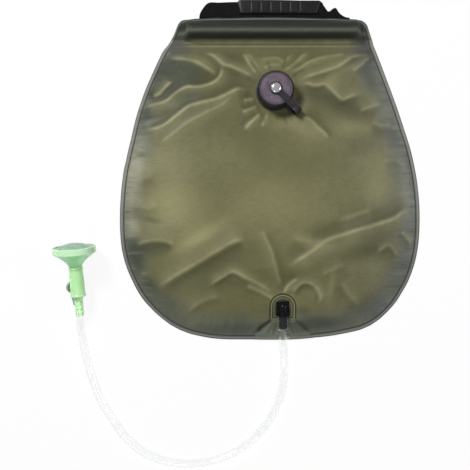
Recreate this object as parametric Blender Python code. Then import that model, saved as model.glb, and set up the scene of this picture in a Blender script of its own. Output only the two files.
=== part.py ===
"""Camp shower bag, lying flat on its back with its hose and shower head beside it.

Metres, +Z up. The origin is on the underside of the back panel, on the bag's centreline,
half way up the bag. +Y points to the handle and -Y to the outlet.
"""
import math

import bpy
from mathutils import Matrix, Vector

# Bag
BAG_WIDTH = 0.430
BAG_HEIGHT = 0.460
BELLY_HEIGHT = 0.176
SHOULDER_WIDTH = 0.298
SLEEVE_TOP_WIDTH = 0.274
SLEEVE_DEPTH = 0.042
TOP_BOW = 0.004
CORNER_RADIUS = 0.011
SHEET = 0.0006
SEAM = 0.007
PUFF = 0.020
PUFF_RUN = 0.100
GRID_STEP = 0.023
SLEEVE_STEP = 0.0045
GAP = 0.0003
OVERRUN = 0.004
BELLY_POWER = 2.62
SHOULDER_POWER = 1.85

# Main folds of the front sheet: the rise of each as a share of the full one, less than 0 for
# a hollow, and the points it runs through as shares of half the bag's width and height
FOLD_RISE = 0.004
FOLD_WIDTH = 0.013
FOLD_FADE = 0.020
FOLD_SHARES = [
    (1.00, [(0.94, -0.20), (0.70, -0.29), (0.46, -0.36), (0.18, -0.51), (0.10, -0.55)]),
    (-0.70, [(0.78, -0.42), (0.55, -0.48), (0.36, -0.58)]),
    (0.85, [(-0.76, -0.67), (-0.48, -0.52), (-0.24, -0.39)]),
    (-0.60, [(-0.60, -0.70), (-0.42, -0.61), (-0.30, -0.54)]),
    (0.80, [(-0.12, 0.53), (-0.35, 0.48), (-0.53, 0.43), (-0.70, 0.32), (-0.85, 0.30)]),
    (0.75, [(-0.32, 0.65), (-0.47, 0.55), (-0.69, 0.47), (-0.82, 0.44)]),
    (0.60, [(-0.67, 0.75), (-0.44, 0.69), (-0.34, 0.63)]),
    (0.70, [(0.17, 0.59), (0.46, 0.69), (0.67, 0.78)]),
    (0.60, [(0.17, 0.56), (0.36, 0.57), (0.47, 0.48), (0.66, 0.54)]),
    (-0.80, [(0.40, 0.40), (0.55, 0.32)]),
    (0.60, [(-0.41, -0.66), (-0.24, -0.57), (0.02, -0.71)]),
    (0.45, [(-0.03, -0.34), (0.04, -0.58)]),
]

# Rod, its pocket, and the webbing loops round it
ROD_RADIUS = 0.008
ROD_WALL = 0.002
ROD_LENGTH = 0.230
ROD_SHIFT = 0.003
WEBBING = 0.0016
WEBBING_WIDTH = 0.020
POCKET_LOW = 0.0133
POCKET_HIGH = 0.0175
POCKET_CLEARANCE = 0.001
POCKET_LOW_POWER = 3.4
POCKET_HIGH_POWER = 2.4
POCKET_END_RUN = 0.013
WELD_BAND = 0.0072
HEM = 0.004
STRAP_SLOT_MARGIN = 0.006
STRAP_SLOT_RUN = 0.009

# Handle
HANDLE_SHIFT = 0.007
HANDLE_SPAN = 0.194
HINGE_OUT = 0.0009
GRIP_LENGTH = 0.119
GRIP_SHIFT = 0.007
GRIP_WIDTH = 0.019
GRIP_THICKNESS = 0.006
GRIP_OFFSET = 0.0031
GRIP_FLOOR = 0.0004
GRIP_STRAP_LEVEL = 0.0026
GRIP_LIP = 0.0022
GRIP_LIP_THICKNESS = 0.0024
GRIP_PADS = 6
GRIP_PITCH = 0.0139
GRIP_GROOVE = 0.0012

# Filler neck, cap and tether
NECK_X = 0.007
NECK_FROM_TOP = 0.109
NECK_LEVEL = 0.0142
NECK_RADIUS = 0.021
NECK_WALL = 0.003
NECK_FLANGE_RADIUS = 0.028
NECK_FLANGE = 0.0016
FLAT_MARGIN = 0.007
CAP_RADIUS = 0.025
CAP_TOP_RADIUS = 0.0234
CAP_HEIGHT = 0.022
CAP_PLATE = 0.0025
CAP_RUNNING_GAP = 0.0006
CAP_RIB = 0.0008
CAP_RIBS = 24
CAP_GROOVE_RADIUS = 0.0212
CAP_GROOVE = 0.0007
CAP_CHAMFER = 0.0018
GASKET = 0.0024
GASKET_WIDTH = 0.0034
RIVET_RADIUS = 0.007
RIVET_DOME = 0.0035
SHANK_RADIUS = 0.002
WASHER_RADIUS = 0.005
WASHER = 0.0008
RIVET_TAIL = 0.0009
TETHER_RING_RADIUS = 0.027
TETHER_RING = 0.002
TETHER_STRAP = 0.0018
TETHER_WIDTH = 0.0105
TETHER_REACH = 0.046
TETHER_EYE_RADIUS = 0.0084
TETHER_TURN = math.radians(-44)

# Outlet
OUTLET_X = 0.0185
OUTLET_FROM_BOTTOM = 0.0284
OUTLET_LEVEL = 0.0085
OUTLET_PLATE_WIDTH = 0.036
OUTLET_PLATE_LENGTH = 0.037
OUTLET_PLATE = 0.0016
WINDOW_WIDTH = 0.018
WINDOW_LENGTH = 0.021
WINDOW_FROM_PLATE = 0.0052
WINDOW_PROUD = 0.0008
ELBOW_RADIUS = 0.00575
ELBOW_RISE = 0.0066
WATERWAY_RADIUS = 0.0024
BARB_RADIUS = 0.0036
BARB_RING = 0.0007
BARB_LENGTH = 0.017
BARB_RINGS = 3

# Hose
HOSE_RADIUS = 0.006

# Shower head, along its own axis from the tip of its barb
HEAD_X = -0.2667
HEAD_Y = -0.1945
HEAD_LEAN = math.radians(3.5)
HEAD_TILT = math.radians(8)
HEAD_BARB_LENGTH = 0.0285
HEAD_BODY_LENGTH = 0.0425
HEAD_BODY_RADIUS = 0.0102
HEAD_NECK_RADIUS = 0.0094
HEAD_SKIRT = 0.0007
HEAD_SNAP = 0.0008
HEAD_SNAP_LENGTH = 0.0022
HORN_LENGTH = 0.0272
HORN_WALL = 0.0018
RIM_RADIUS = 0.030
RIM_LENGTH = 0.0085
SPIGOT_RADIUS = 0.006
SPIGOT_LENGTH = 0.009
ROSE_DOME_RADIUS = 0.0235
ROSE_DOME = 0.006
ROSE_WALL = 0.0016
ROSE_HOLE_RADIUS = 0.0008
ROSE_RINGS = 3
ROSE_RING_PITCH = 0.006

# Tap
TAP_FROM_BODY = 0.0112
TAP_DROP = math.radians(50)
PLUG_RADIUS = 0.0045
PLUG_CLEARANCE = 0.0003
BOSS_RADIUS = 0.0066
BOSS_REACH = 0.0118
KNOB_RADIUS = 0.0077
KNOB_LENGTH = 0.0046
ARM_LENGTH = 0.0242
ARM_WIDTH = 0.0056
ARM_TIP_WIDTH = 0.0034
ARM_THICKNESS = 0.0032
SEAL = 0.0011
ARM_DIP = 0.0042
CLIP = 0.0008
CLIP_RADIUS = 0.0052
PLUG_TAIL = 0.0009

# Steps round turned pieces
ROUND_STEPS = 28
SMALL_STEPS = 20
TINY_STEPS = 16


def clear_scene():
    for obj in list(bpy.data.objects):
        bpy.data.objects.remove(obj, do_unlink=True)


def material(name, colour, roughness, metallic=0.0):
    mat = bpy.data.materials.new(name)
    mat.use_nodes = True
    shader = mat.node_tree.nodes["Principled BSDF"]
    shader.inputs["Base Color"].default_value = (*colour, 1.0)
    shader.inputs["Roughness"].default_value = roughness
    shader.inputs["Metallic"].default_value = metallic
    return mat


def mesh_object(name, points, faces, mat, at=(0, 0, 0), sharp=30):
    """A named object from points and faces, smooth except at its sharp edges."""
    mesh = bpy.data.meshes.new(name)
    mesh.from_pydata([tuple(p) for p in points], [], faces)
    mesh.update()
    mesh.shade_smooth()
    mesh.set_sharp_from_angle(angle=math.radians(sharp))
    obj = bpy.data.objects.new(name, mesh)
    obj.location = at
    if mat:
        mesh.materials.append(mat)
    bpy.context.scene.collection.objects.link(obj)
    return obj


def rings_mesh(rings, closed=False):
    """Points and faces of a tube through rings of equal count, with end caps unless closed."""
    count = len(rings[0])
    points = [p for ring in rings for p in ring]
    faces = []
    last = len(rings) if closed else len(rings) - 1
    for i in range(last):
        low = i * count
        high = ((i + 1) % len(rings)) * count
        for j in range(count):
            k = (j + 1) % count
            faces.append((low + j, low + k, high + k, high + j))
    if not closed:
        faces.append(tuple(reversed(range(count))))
        faces.append(tuple(range(len(points) - count, len(points))))
    return points, faces


def turned(name, profile, mat, at=(0, 0, 0), steps=ROUND_STEPS, ribs=None, sharp=30):
    """A closed profile of (radius, height) points turned about Z.

    The profile runs up the outer side. A profile whose ends lie on the axis is capped by poles,
    and any other is a ring. Where ribs is given, it holds the profile points that are ribbed.
    """
    on_axis = profile[0][0] == 0
    body = profile[1:-1] if on_axis else profile
    rings = []
    for index, (radius, height) in enumerate(body):
        ring = []
        for j in range(steps):
            r = radius
            if ribs and index in ribs and j % 2:
                r = radius - CAP_RIB
            turn = math.tau * j / steps
            ring.append((r * math.cos(turn), r * math.sin(turn), height))
        rings.append(ring)
    if not on_axis:
        points, faces = rings_mesh(rings, closed=True)
        return mesh_object(name, points, faces, mat, at, sharp)
    points, faces = rings_mesh(rings)
    faces = faces[:-2]
    low, high = len(points), len(points) + 1
    points += [(0, 0, profile[0][1]), (0, 0, profile[-1][1])]
    top = len(points) - 2 - steps
    for j in range(steps):
        k = (j + 1) % steps
        faces.append((low, k, j))
        faces.append((high, top + j, top + k))
    return mesh_object(name, points, faces, mat, at, sharp)


def prism(name, outline, low, high, mat=None):
    """An outline in X and Y, anticlockwise, raised from low to high."""
    rings = [[(x, y, z) for x, y in outline] for z in (low, high)]
    points, faces = rings_mesh(rings)
    return mesh_object(name, points, faces, mat)


def box(name, low, high):
    outline = [(low[0], low[1]), (high[0], low[1]), (high[0], high[1]), (low[0], high[1])]
    return prism(name, outline, low[2], high[2])


def rod(name, radius, low, high, steps=TINY_STEPS):
    return turned(name, [(0, low), (radius, low), (radius, high), (0, high)], None, steps=steps)


def combine(target, tool, operation):
    """Cuts the tool from the target, or joins it on, by a Boolean modifier."""
    step = target.modifiers.new(tool.name, "BOOLEAN")
    step.operation = operation
    step.object = tool
    step.solver = "EXACT"
    tool.parent = target.parent
    tool.hide_render = True
    tool.display_type = "WIRE"


def cut(target, tool):
    combine(target, tool, "DIFFERENCE")


def join(target, tool):
    combine(target, tool, "UNION")


def place(obj, parent, matrix=None):
    obj.parent = parent
    if matrix is not None:
        obj.matrix_local = matrix
    return obj


def smooth_step(value):
    t = min(max(value, 0.0), 1.0)
    return t * t * (3 - 2 * t)


def spread(stops, step):
    """The stops, in order, with even places between them no further apart than the step."""
    places = [stops[0]]
    for low, high in zip(stops, stops[1:]):
        parts = max(1, math.ceil((high - low) / step))
        places += [low + (high - low) * (i + 1) / parts for i in range(parts)]
    return places


# Places worked out from the sizes above
TOP_Y = BAG_HEIGHT / 2
BOTTOM_Y = -BAG_HEIGHT / 2
BELLY_Y = BOTTOM_Y + BELLY_HEIGHT
SHOULDER_Y = TOP_Y - SLEEVE_DEPTH
FRONT_Z = SHEET + GAP
LOOP_RADIUS = ROD_RADIUS + GAP + WEBBING
ROD_Z = SHEET + GAP + LOOP_RADIUS
ROD_Y = SHOULDER_Y + WELD_BAND + POCKET_LOW
POCKET_RISE = ROD_Z + LOOP_RADIUS + POCKET_CLEARANCE - FRONT_Z
LEGS = (HANDLE_SHIFT - HANDLE_SPAN / 2, HANDLE_SHIFT + HANDLE_SPAN / 2)
HINGE_Y = TOP_Y + HINGE_OUT
HINGE_Z = SHEET + GAP + WEBBING
NECK_Y = TOP_Y - NECK_FROM_TOP
OUTLET_LOW = BOTTOM_Y + OUTLET_FROM_BOTTOM
OUTLET_HIGH = OUTLET_LOW + OUTLET_PLATE_LENGTH
OUTLET_MID = (OUTLET_LOW + OUTLET_HIGH) / 2


def belly_bottom(x):
    """The y of the bag's rounded bottom edge at x."""
    share = min(abs(x) / (BAG_WIDTH / 2), 1.0)
    return BELLY_Y - BELLY_HEIGHT * (1 - share ** BELLY_POWER) ** (1 / BELLY_POWER)


def half_width(y):
    """Half the bag's width at height y, from the belly's corner to the top of the sleeve."""
    if y <= BELLY_Y:
        share = (BELLY_Y - y) / BELLY_HEIGHT
        return BAG_WIDTH / 2 * (1 - share ** BELLY_POWER) ** (1 / BELLY_POWER)
    if y <= SHOULDER_Y:
        share = (y - BELLY_Y) / (SHOULDER_Y - BELLY_Y)
        return BAG_WIDTH / 2 - (BAG_WIDTH - SHOULDER_WIDTH) / 2 * share ** SHOULDER_POWER
    share = (y - SHOULDER_Y) / SLEEVE_DEPTH
    half = SHOULDER_WIDTH / 2 + (SLEEVE_TOP_WIDTH - SHOULDER_WIDTH) / 2 * share
    above = max(y - (TOP_Y - CORNER_RADIUS), 0.0)
    return half - CORNER_RADIUS + math.sqrt(max(CORNER_RADIUS ** 2 - above ** 2, 0.0))


CORNER_SHARE = 0.5 ** (1 / BELLY_POWER)
CORNER_X = BAG_WIDTH / 2 * CORNER_SHARE
CORNER_Y = BELLY_Y - BELLY_HEIGHT * CORNER_SHARE


def chamber_edge():
    """The inner edge of the water chamber: the rounded bottom, the sides, and the weld on top."""
    steps = ROUND_STEPS * 2
    right = [(CORNER_X * i / steps, belly_bottom(CORNER_X * i / steps)) for i in range(steps)]
    for i in range(steps + 1):
        y = CORNER_Y + (SHOULDER_Y - CORNER_Y) * i / steps
        right.append((half_width(y), y))
    left = [(-x, y) for x, y in reversed(right)]
    return right + left


CHAMBER = chamber_edge()


def line_distance(x, y, pieces):
    """How far a point lies from the nearest of some straight pieces."""
    nearest = BAG_WIDTH
    for (ax, ay), (bx, by) in pieces:
        dx, dy = bx - ax, by - ay
        length = dx * dx + dy * dy
        along = min(max(((x - ax) * dx + (y - ay) * dy) / length, 0.0), 1.0) if length else 0.0
        nearest = min(nearest, math.hypot(x - ax - dx * along, y - ay - dy * along))
    return nearest


def edge_distance(x, y):
    """How far a point lies inside the chamber's edge."""
    return line_distance(x, y, zip(CHAMBER, CHAMBER[1:] + CHAMBER[:1]))


def zone(x, y, centre, half, run):
    """1 inside a rectangle about the centre, falling to 0 over the run outside it."""
    out_x = max(abs(x - centre[0]) - half[0], 0.0)
    out_y = max(abs(y - centre[1]) - half[1], 0.0)
    return 1 - smooth_step(math.hypot(out_x, out_y) / run)


def fold_rise(x, y):
    """How far the folds lift the front sheet at a point, or lower it."""
    total = 0.0
    for rise_share, shares in FOLD_SHARES:
        points = [(a * BAG_WIDTH / 2, b * BAG_HEIGHT / 2) for a, b in shares]
        away = line_distance(x, y, zip(points, points[1:]))
        total += FOLD_RISE * rise_share * math.exp(-(away / FOLD_WIDTH) ** 2)
    return total


def chamber_height(x, y):
    """Underside of the front sheet over the water chamber."""
    inside = max(edge_distance(x, y) - SEAM, 0.0)
    height = FRONT_Z + PUFF * math.sin(math.pi / 2 * min(inside / PUFF_RUN, 1.0))
    if inside == 0:
        return FRONT_Z
    height += fold_rise(x, y) * smooth_step(inside / FOLD_FADE)
    flat = NECK_FLANGE_RADIUS + FLAT_MARGIN
    at_neck = zone(x, y, (NECK_X, NECK_Y), (flat, flat), NECK_FLANGE_RADIUS)
    half = (OUTLET_PLATE_WIDTH / 2 + FLAT_MARGIN, OUTLET_PLATE_LENGTH / 2 + FLAT_MARGIN)
    at_outlet = zone(x, y, (OUTLET_X, OUTLET_MID), half, OUTLET_PLATE_WIDTH)
    height += (NECK_LEVEL - SHEET - height) * at_neck
    height += (OUTLET_LEVEL - SHEET - height) * at_outlet
    return height


def sleeve_height(x, y):
    """Underside of the front sheet over the rod pocket, with a rise for each webbing loop."""
    past_rod = abs(x - ROD_SHIFT) - ROD_LENGTH / 2 - SHEET * 4
    ends = 1 - smooth_step(past_rod / POCKET_END_RUN)
    away = y - ROD_Y
    share = away / POCKET_HIGH if away > 0 else -away / POCKET_LOW
    power = POCKET_HIGH_POWER if away > 0 else POCKET_LOW_POWER
    rise = POCKET_RISE * (1 - min(share, 1.0) ** power) * ends
    if away > 0:
        for leg in LEGS:
            half = WEBBING_WIDTH / 2 + STRAP_SLOT_MARGIN
            beside = smooth_step((abs(x - leg) - half) / STRAP_SLOT_RUN)
            rise = max(rise, (WEBBING + GAP) * (1 - beside))
    return FRONT_Z + rise


def column_shares():
    """Places across the bag, as shares of its half width, closer at what the sheet fits."""
    outer = 1 - SEAM / (BAG_WIDTH / 2)
    stops = [-1.0, -outer, outer, 1.0]
    neck_half = NECK_FLANGE_RADIUS + FLAT_MARGIN / 2
    plate_half = OUTLET_PLATE_WIDTH / 2 + FLAT_MARGIN / 2
    slot_half = WEBBING_WIDTH / 2 + STRAP_SLOT_MARGIN
    rod_half = ROD_LENGTH / 2 + SHEET * 4
    for side in (-1, 1):
        stops.append((NECK_X + side * neck_half) / half_width(NECK_Y))
        stops.append((OUTLET_X + side * plate_half) / half_width(OUTLET_MID))
        stops.append((ROD_SHIFT + side * rod_half) / half_width(ROD_Y))
        stops += [(leg + side * slot_half) / half_width(TOP_Y - HEM) for leg in LEGS]
    stops.sort()
    least = SEAM / BAG_WIDTH
    kept = [stops[0]]
    for stop in stops[1:]:
        if stop - kept[-1] > least:
            kept.append(stop)
    return spread(kept, GRID_STEP / (BAG_WIDTH / 2))


def panel_grid():
    """Rows of (x, y) over the whole front panel, from the rounded bottom to the top edge."""
    columns = column_shares()
    rows = []
    flat = NECK_FLANGE_RADIUS + FLAT_MARGIN / 2
    stops = [BOTTOM_Y, BOTTOM_Y + SEAM, OUTLET_LOW - FLAT_MARGIN / 2,
             OUTLET_HIGH + FLAT_MARGIN / 2, NECK_Y - flat, NECK_Y + flat, SHOULDER_Y]
    for y in spread(stops, GRID_STEP):
        up = (y - BOTTOM_Y) / (SHOULDER_Y - BOTTOM_Y)
        side_y = CORNER_Y + (SHOULDER_Y - CORNER_Y) * up
        row = []
        for share in columns:
            drop = belly_bottom(share * CORNER_X) - CORNER_Y
            row.append((share * half_width(side_y), side_y + (1 - up) * drop))
        rows.append(row)
    stops = [SHOULDER_Y, SHOULDER_Y + WELD_BAND, ROD_Y, ROD_Y + POCKET_HIGH,
             TOP_Y - CORNER_RADIUS / 9, TOP_Y]
    for y in spread(stops, SLEEVE_STEP)[1:]:
        up = (y - SHOULDER_Y) / SLEEVE_DEPTH
        half = half_width(y)
        rows.append([(s * half, y - TOP_BOW * up * s * s) for s in columns])
    return rows


def bag_panels(olive, black):
    """The two sheets of the bag, with the holes for the neck and the outlet."""
    rows = panel_grid()
    wide = len(rows[0])
    points = []
    for row in rows:
        for x, y in row:
            over = sleeve_height if y > SHOULDER_Y + GAP else chamber_height
            points.append((x, y, over(x, y)))
    faces = []
    for i in range(len(rows) - 1):
        for j in range(wide - 1):
            low = i * wide + j
            faces.append((low, low + 1, low + wide + 1, low + wide))
    front = mesh_object("bag_front_panel", points, faces, olive, sharp=60)
    shell = front.modifiers.new("sheet", "SOLIDIFY")
    shell.thickness = SHEET
    shell.offset = 1
    hole = rod("neck_hole", NECK_RADIUS + GAP, NECK_LEVEL - OVERRUN, NECK_LEVEL + OVERRUN,
               ROUND_STEPS)
    hole.location = (NECK_X, NECK_Y, 0)
    cut(front, hole)
    half = WINDOW_WIDTH / 2
    window_low = OUTLET_LOW + WINDOW_FROM_PLATE
    window = box("outlet_window", (OUTLET_X - half, window_low, OUTLET_LEVEL - OVERRUN),
                 (OUTLET_X + half, window_low + WINDOW_LENGTH, OUTLET_LEVEL + OVERRUN))
    cut(front, window)

    edge = list(rows[0])
    edge += [row[-1] for row in rows[1:]]
    edge += list(reversed(rows[-1][:-1]))
    edge += [row[0] for row in reversed(rows[1:-1])]
    prism("bag_back_panel", edge, 0, SHEET, black)


def hanger(white, webbing):
    """The rod in the sleeve and the two webbing loops that anchor the handle to it."""
    bore = ROD_RADIUS - ROD_WALL
    profile = [(bore, 0), (ROD_RADIUS, 0), (ROD_RADIUS, ROD_LENGTH), (bore, ROD_LENGTH)]
    tube = turned("hanger_rod", profile, white, steps=SMALL_STEPS)
    tube.rotation_euler = (0, math.pi / 2, 0)
    tube.location = (ROD_SHIFT - ROD_LENGTH / 2, ROD_Y, ROD_Z)

    inner = ROD_RADIUS + GAP
    reach = HINGE_Y - GAP / 2 - ROD_Y
    low = -LOOP_RADIUS
    steps = SMALL_STEPS
    outside = []
    for i in range(steps + 1):
        turn = math.radians(-90) - math.radians(295) * i / steps
        outside.append((LOOP_RADIUS * math.cos(turn), LOOP_RADIUS * math.sin(turn)))
    inside = []
    for i in range(steps + 1):
        turn = math.radians(-90) - math.radians(295) * i / steps
        inside.append((inner * math.cos(turn), inner * math.sin(turn)))
    outline = [(reach, low)] + outside + list(reversed(inside)) + [(reach, low + WEBBING)]
    for side, leg in zip(("left", "right"), LEGS):
        half = WEBBING_WIDTH / 2
        rings = [[(leg + x, ROD_Y + y, ROD_Z + z) for y, z in outline] for x in (half, -half)]
        points, faces = rings_mesh(rings)
        mesh_object("handle_loop_" + side, points, faces, webbing)


def handle(webbing, rubber):
    """The webbing strip and the grip on it; both turn about the strip's bend at the sleeve."""
    grip_x = HANDLE_SHIFT + GRIP_SHIFT
    grip_low = grip_x - GRIP_LENGTH / 2
    grip_high = grip_x + GRIP_LENGTH / 2
    left = LEGS[0] - WEBBING_WIDTH / 2
    right = LEGS[1] + WEBBING_WIDTH / 2
    run_level = GRIP_FLOOR + GRIP_STRAP_LEVEL
    # Place along each slack end, its reach as a share of the webbing's width, and its rise
    left_shares = [(0.0, 0.42, 0.0), (0.06, 0.66, 0.0), (0.2, 0.97, 0.0), (0.4, 1.0, 0.0),
                   (0.7, 1.0, 0.7), (1.0, 1.0, 1.0)]
    right_shares = [(0.0, 1.0, 1.0), (0.16, 0.62, 1.0), (0.28, 0.3, 0.8), (0.45, 0.56, 0.3),
                    (0.57, 0.34, 0.0), (0.8, 0.12, 0.0), (1.0, 0.06, 0.0)]
    stations = []
    for along, reach, rise in left_shares:
        stations.append((left + (grip_low - left) * along, reach, rise))
    for along, reach, rise in right_shares:
        stations.append((grip_high + (right - grip_high) * along, reach, rise))
    low_y = HINGE_Y + GAP / 2
    rings = []
    bend_level = HINGE_Z - WEBBING / 2
    for x, reach, rise in stations:
        z = bend_level + (run_level - bend_level) * rise
        high_y = low_y + WEBBING_WIDTH * reach
        flat = WEBBING / 2
        rings.append([(x, low_y, z - flat), (x, high_y, z - flat), (x, high_y, z + flat),
                      (x, low_y, z + flat)])
    pivot = Vector((HANDLE_SHIFT, HINGE_Y, HINGE_Z))
    points, faces = rings_mesh([[Vector(p) - pivot for p in ring] for ring in rings])
    mesh_object("handle_strap", points, faces, webbing, pivot)

    y0 = HINGE_Y + GRIP_OFFSET
    y1 = y0 + GRIP_WIDTH
    z0 = GRIP_FLOOR
    z1 = z0 + GRIP_THICKNESS
    chamfer = GRIP_GROOVE

    def section(x, top):
        """The grip's outline at x, whose face lies at the given height."""
        lip = y1 + GRIP_LIP
        return [(x, y0 + chamfer, z0), (x, y1, z0), (x, lip, z0 + chamfer),
                (x, lip, z0 + chamfer + GRIP_LIP_THICKNESS), (x, y1, z0 + chamfer * 2 +
                 GRIP_LIP_THICKNESS), (x, y1 - chamfer, top), (x, y0 + chamfer, top),
                (x, y0, top - chamfer), (x, y0, z0 + chamfer)]

    places = [(grip_low, z1 - GRIP_GROOVE), (grip_low + GRIP_GROOVE * 2, z1)]
    first = grip_x - GRIP_PITCH * GRIP_PADS / 2
    for i in range(GRIP_PADS + 1):
        x = first + GRIP_PITCH * i
        places += [(x - GRIP_GROOVE * 1.5, z1), (x - GRIP_GROOVE / 2, z1 - GRIP_GROOVE),
                   (x + GRIP_GROOVE / 2, z1 - GRIP_GROOVE), (x + GRIP_GROOVE * 1.5, z1)]
    places += [(grip_high - GRIP_GROOVE * 2, z1), (grip_high, z1 - GRIP_GROOVE)]
    rings = [[Vector(p) - pivot for p in section(x, top)] for x, top in places]
    points, faces = rings_mesh(rings)
    grip = mesh_object("handle_grip", points, faces, rubber, pivot, sharp=25)
    slot_high = low_y + WEBBING_WIDTH + GAP
    clear = WEBBING / 2 + GAP
    slot = box("grip_slot", Vector((grip_low - OVERRUN, y0 - OVERRUN, run_level - clear)) - pivot,
               Vector((grip_high + OVERRUN, slot_high, run_level + clear)) - pivot)
    slot.location = pivot
    cut(grip, slot)


RING_LOW = NECK_LEVEL + GAP
RING_HIGH = RING_LOW + TETHER_RING
CAP_LOW = RING_HIGH + GAP
CAP_HIGH = CAP_LOW + CAP_HEIGHT
CEILING = CAP_HIGH - CAP_PLATE
NECK_TOP = CEILING - GAP - GASKET - GAP
EYE_LOW = CAP_HIGH + GAP
EYE_HIGH = EYE_LOW + TETHER_STRAP
NECK_AT = (NECK_X, NECK_Y, 0)


def filler_neck(black):
    """The neck with its welding flange, which lies under the front sheet."""
    bore = NECK_RADIUS - NECK_WALL
    flange_high = NECK_LEVEL - SHEET - GAP
    flange_low = flange_high - NECK_FLANGE
    profile = [(bore, flange_low), (NECK_FLANGE_RADIUS, flange_low),
               (NECK_FLANGE_RADIUS, flange_high), (NECK_RADIUS, flange_high),
               (NECK_RADIUS, NECK_TOP - GAP), (NECK_RADIUS - GAP, NECK_TOP), (bore, NECK_TOP)]
    turned("filler_neck", profile, black, NECK_AT)


def filler_cap(black, rubber, chrome, steel):
    """The cap with its ribbed skirt, and what rides with it: gasket, rivet and washer."""
    bore = NECK_RADIUS + CAP_RUNNING_GAP
    shoulder = CAP_HIGH - CAP_CHAMFER
    ribs_low = CAP_LOW + CAP_CHAMFER
    groove_out = CAP_GROOVE_RADIUS + CAP_GROOVE
    groove_in = CAP_GROOVE_RADIUS - CAP_GROOVE
    hole = SHANK_RADIUS + GAP
    profile = [(bore, CAP_LOW), (CAP_RADIUS, CAP_LOW), (CAP_RADIUS, ribs_low),
               (CAP_RADIUS, shoulder - CAP_CHAMFER),
               (CAP_TOP_RADIUS, CAP_HIGH), (groove_out, CAP_HIGH),
               (CAP_GROOVE_RADIUS, CAP_HIGH - CAP_GROOVE), (groove_in, CAP_HIGH),
               (hole, CAP_HIGH), (hole, CEILING), (bore, CEILING)]
    turned("filler_cap", profile, black, NECK_AT, CAP_RIBS * 2, ribs=(2, 3))

    gasket_high = CEILING - GAP
    outer = NECK_RADIUS
    inner = outer - GASKET_WIDTH
    profile = [(inner, gasket_high - GASKET), (outer, gasket_high - GASKET),
               (outer, gasket_high), (inner, gasket_high)]
    turned("cap_gasket", profile, rubber, NECK_AT)

    washer_high = CEILING - GAP
    profile = [(hole, washer_high - WASHER), (WASHER_RADIUS, washer_high - WASHER),
               (WASHER_RADIUS, washer_high), (hole, washer_high)]
    turned("rivet_washer", profile, steel, NECK_AT, SMALL_STEPS)

    tail_high = washer_high - WASHER - GAP
    tail_radius = (SHANK_RADIUS + WASHER_RADIUS) / 2
    head_low = EYE_HIGH + GAP
    profile = [(0, tail_high - RIVET_TAIL), (tail_radius, tail_high - RIVET_TAIL),
               (tail_radius, tail_high), (SHANK_RADIUS, tail_high), (SHANK_RADIUS, head_low),
               (RIVET_RADIUS, head_low)]
    dome_low = head_low + RIVET_DOME / 5
    dome_steps = 5
    for i in range(dome_steps):
        turn = math.pi / 2 * i / dome_steps
        profile.append((RIVET_RADIUS * math.cos(turn),
                        dome_low + (RIVET_DOME - RIVET_DOME / 5) * math.sin(turn)))
    profile.append((0, head_low + RIVET_DOME))
    turned("cap_rivet", profile, chrome, NECK_AT, SMALL_STEPS)


def cap_tether(rubber):
    """One moulded piece: the eyelet under the rivet, the folded strap, the ring on the neck."""
    ring = [(NECK_RADIUS + GAP, RING_LOW), (TETHER_RING_RADIUS, RING_LOW),
            (TETHER_RING_RADIUS, RING_HIGH), (NECK_RADIUS + GAP, RING_HIGH)]
    tether = turned("cap_tether", ring, rubber, NECK_AT)
    eye = [(SHANK_RADIUS + GAP, EYE_LOW), (TETHER_EYE_RADIUS, EYE_LOW),
           (TETHER_EYE_RADIUS, EYE_HIGH), (SHANK_RADIUS + GAP, EYE_HIGH)]
    eyelet = turned("tether_eyelet", eye, None, NECK_AT, SMALL_STEPS)

    thickness = TETHER_STRAP - GAP
    top = (EYE_LOW + EYE_HIGH) / 2
    bottom = (RING_LOW + RING_HIGH) / 2
    bend = (top - bottom) / 2
    out = TETHER_REACH - thickness / 2 - bend
    path = [(TETHER_EYE_RADIUS * 0.7, top), (CAP_RADIUS, top)]
    bend_steps = 10
    for i in range(bend_steps + 1):
        turn = math.pi / 2 - math.pi * i / bend_steps
        path.append((out + bend * math.cos(turn), (top + bottom) / 2 + bend * math.sin(turn)))
    path.append((TETHER_RING_RADIUS - thickness, bottom))
    rings = []
    for i, (r, z) in enumerate(path):
        ahead = path[min(i + 1, len(path) - 1)]
        behind = path[max(i - 1, 0)]
        along = Vector((ahead[0] - behind[0], 0, ahead[1] - behind[1])).normalized()
        normal = Vector((-along.z, 0, along.x)) * (thickness / 2)
        wide = TETHER_WIDTH * (0.8 + 0.2 * min(i / 3, 1))
        across = Vector((0, wide / 2, 0))
        at = Vector((r, 0, z))
        rings.append([at - across - normal, at + across - normal,
                      at + across + normal, at - across + normal])
    points, faces = rings_mesh(rings)
    strap = mesh_object("tether_strap", points, faces, None, NECK_AT)
    strap.rotation_euler = (0, 0, TETHER_TURN)
    join(tether, strap)
    join(tether, eyelet)


WINDOW_LOW = OUTLET_LOW + WINDOW_FROM_PLATE
SHOULDER_AT = WINDOW_LOW + GAP
ELBOW_Z = OUTLET_LEVEL + ELBOW_RISE


def barb(length, rings):
    """Outer side of a hose barb, from its shoulder to its tip: rings that taper to the tip."""
    pitch = length / (rings + 0.5)
    profile = [(BARB_RADIUS, 0)]
    for i in range(rings):
        start = pitch * (i + 0.45)
        profile += [(BARB_RADIUS, start), (BARB_RADIUS + BARB_RING, start + BARB_RING / 3),
                    (BARB_RADIUS, start + pitch * 0.7)]
    profile.append((BARB_RADIUS, length - BARB_RING))
    profile.append((BARB_RADIUS - BARB_RING, length))
    return profile


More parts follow.
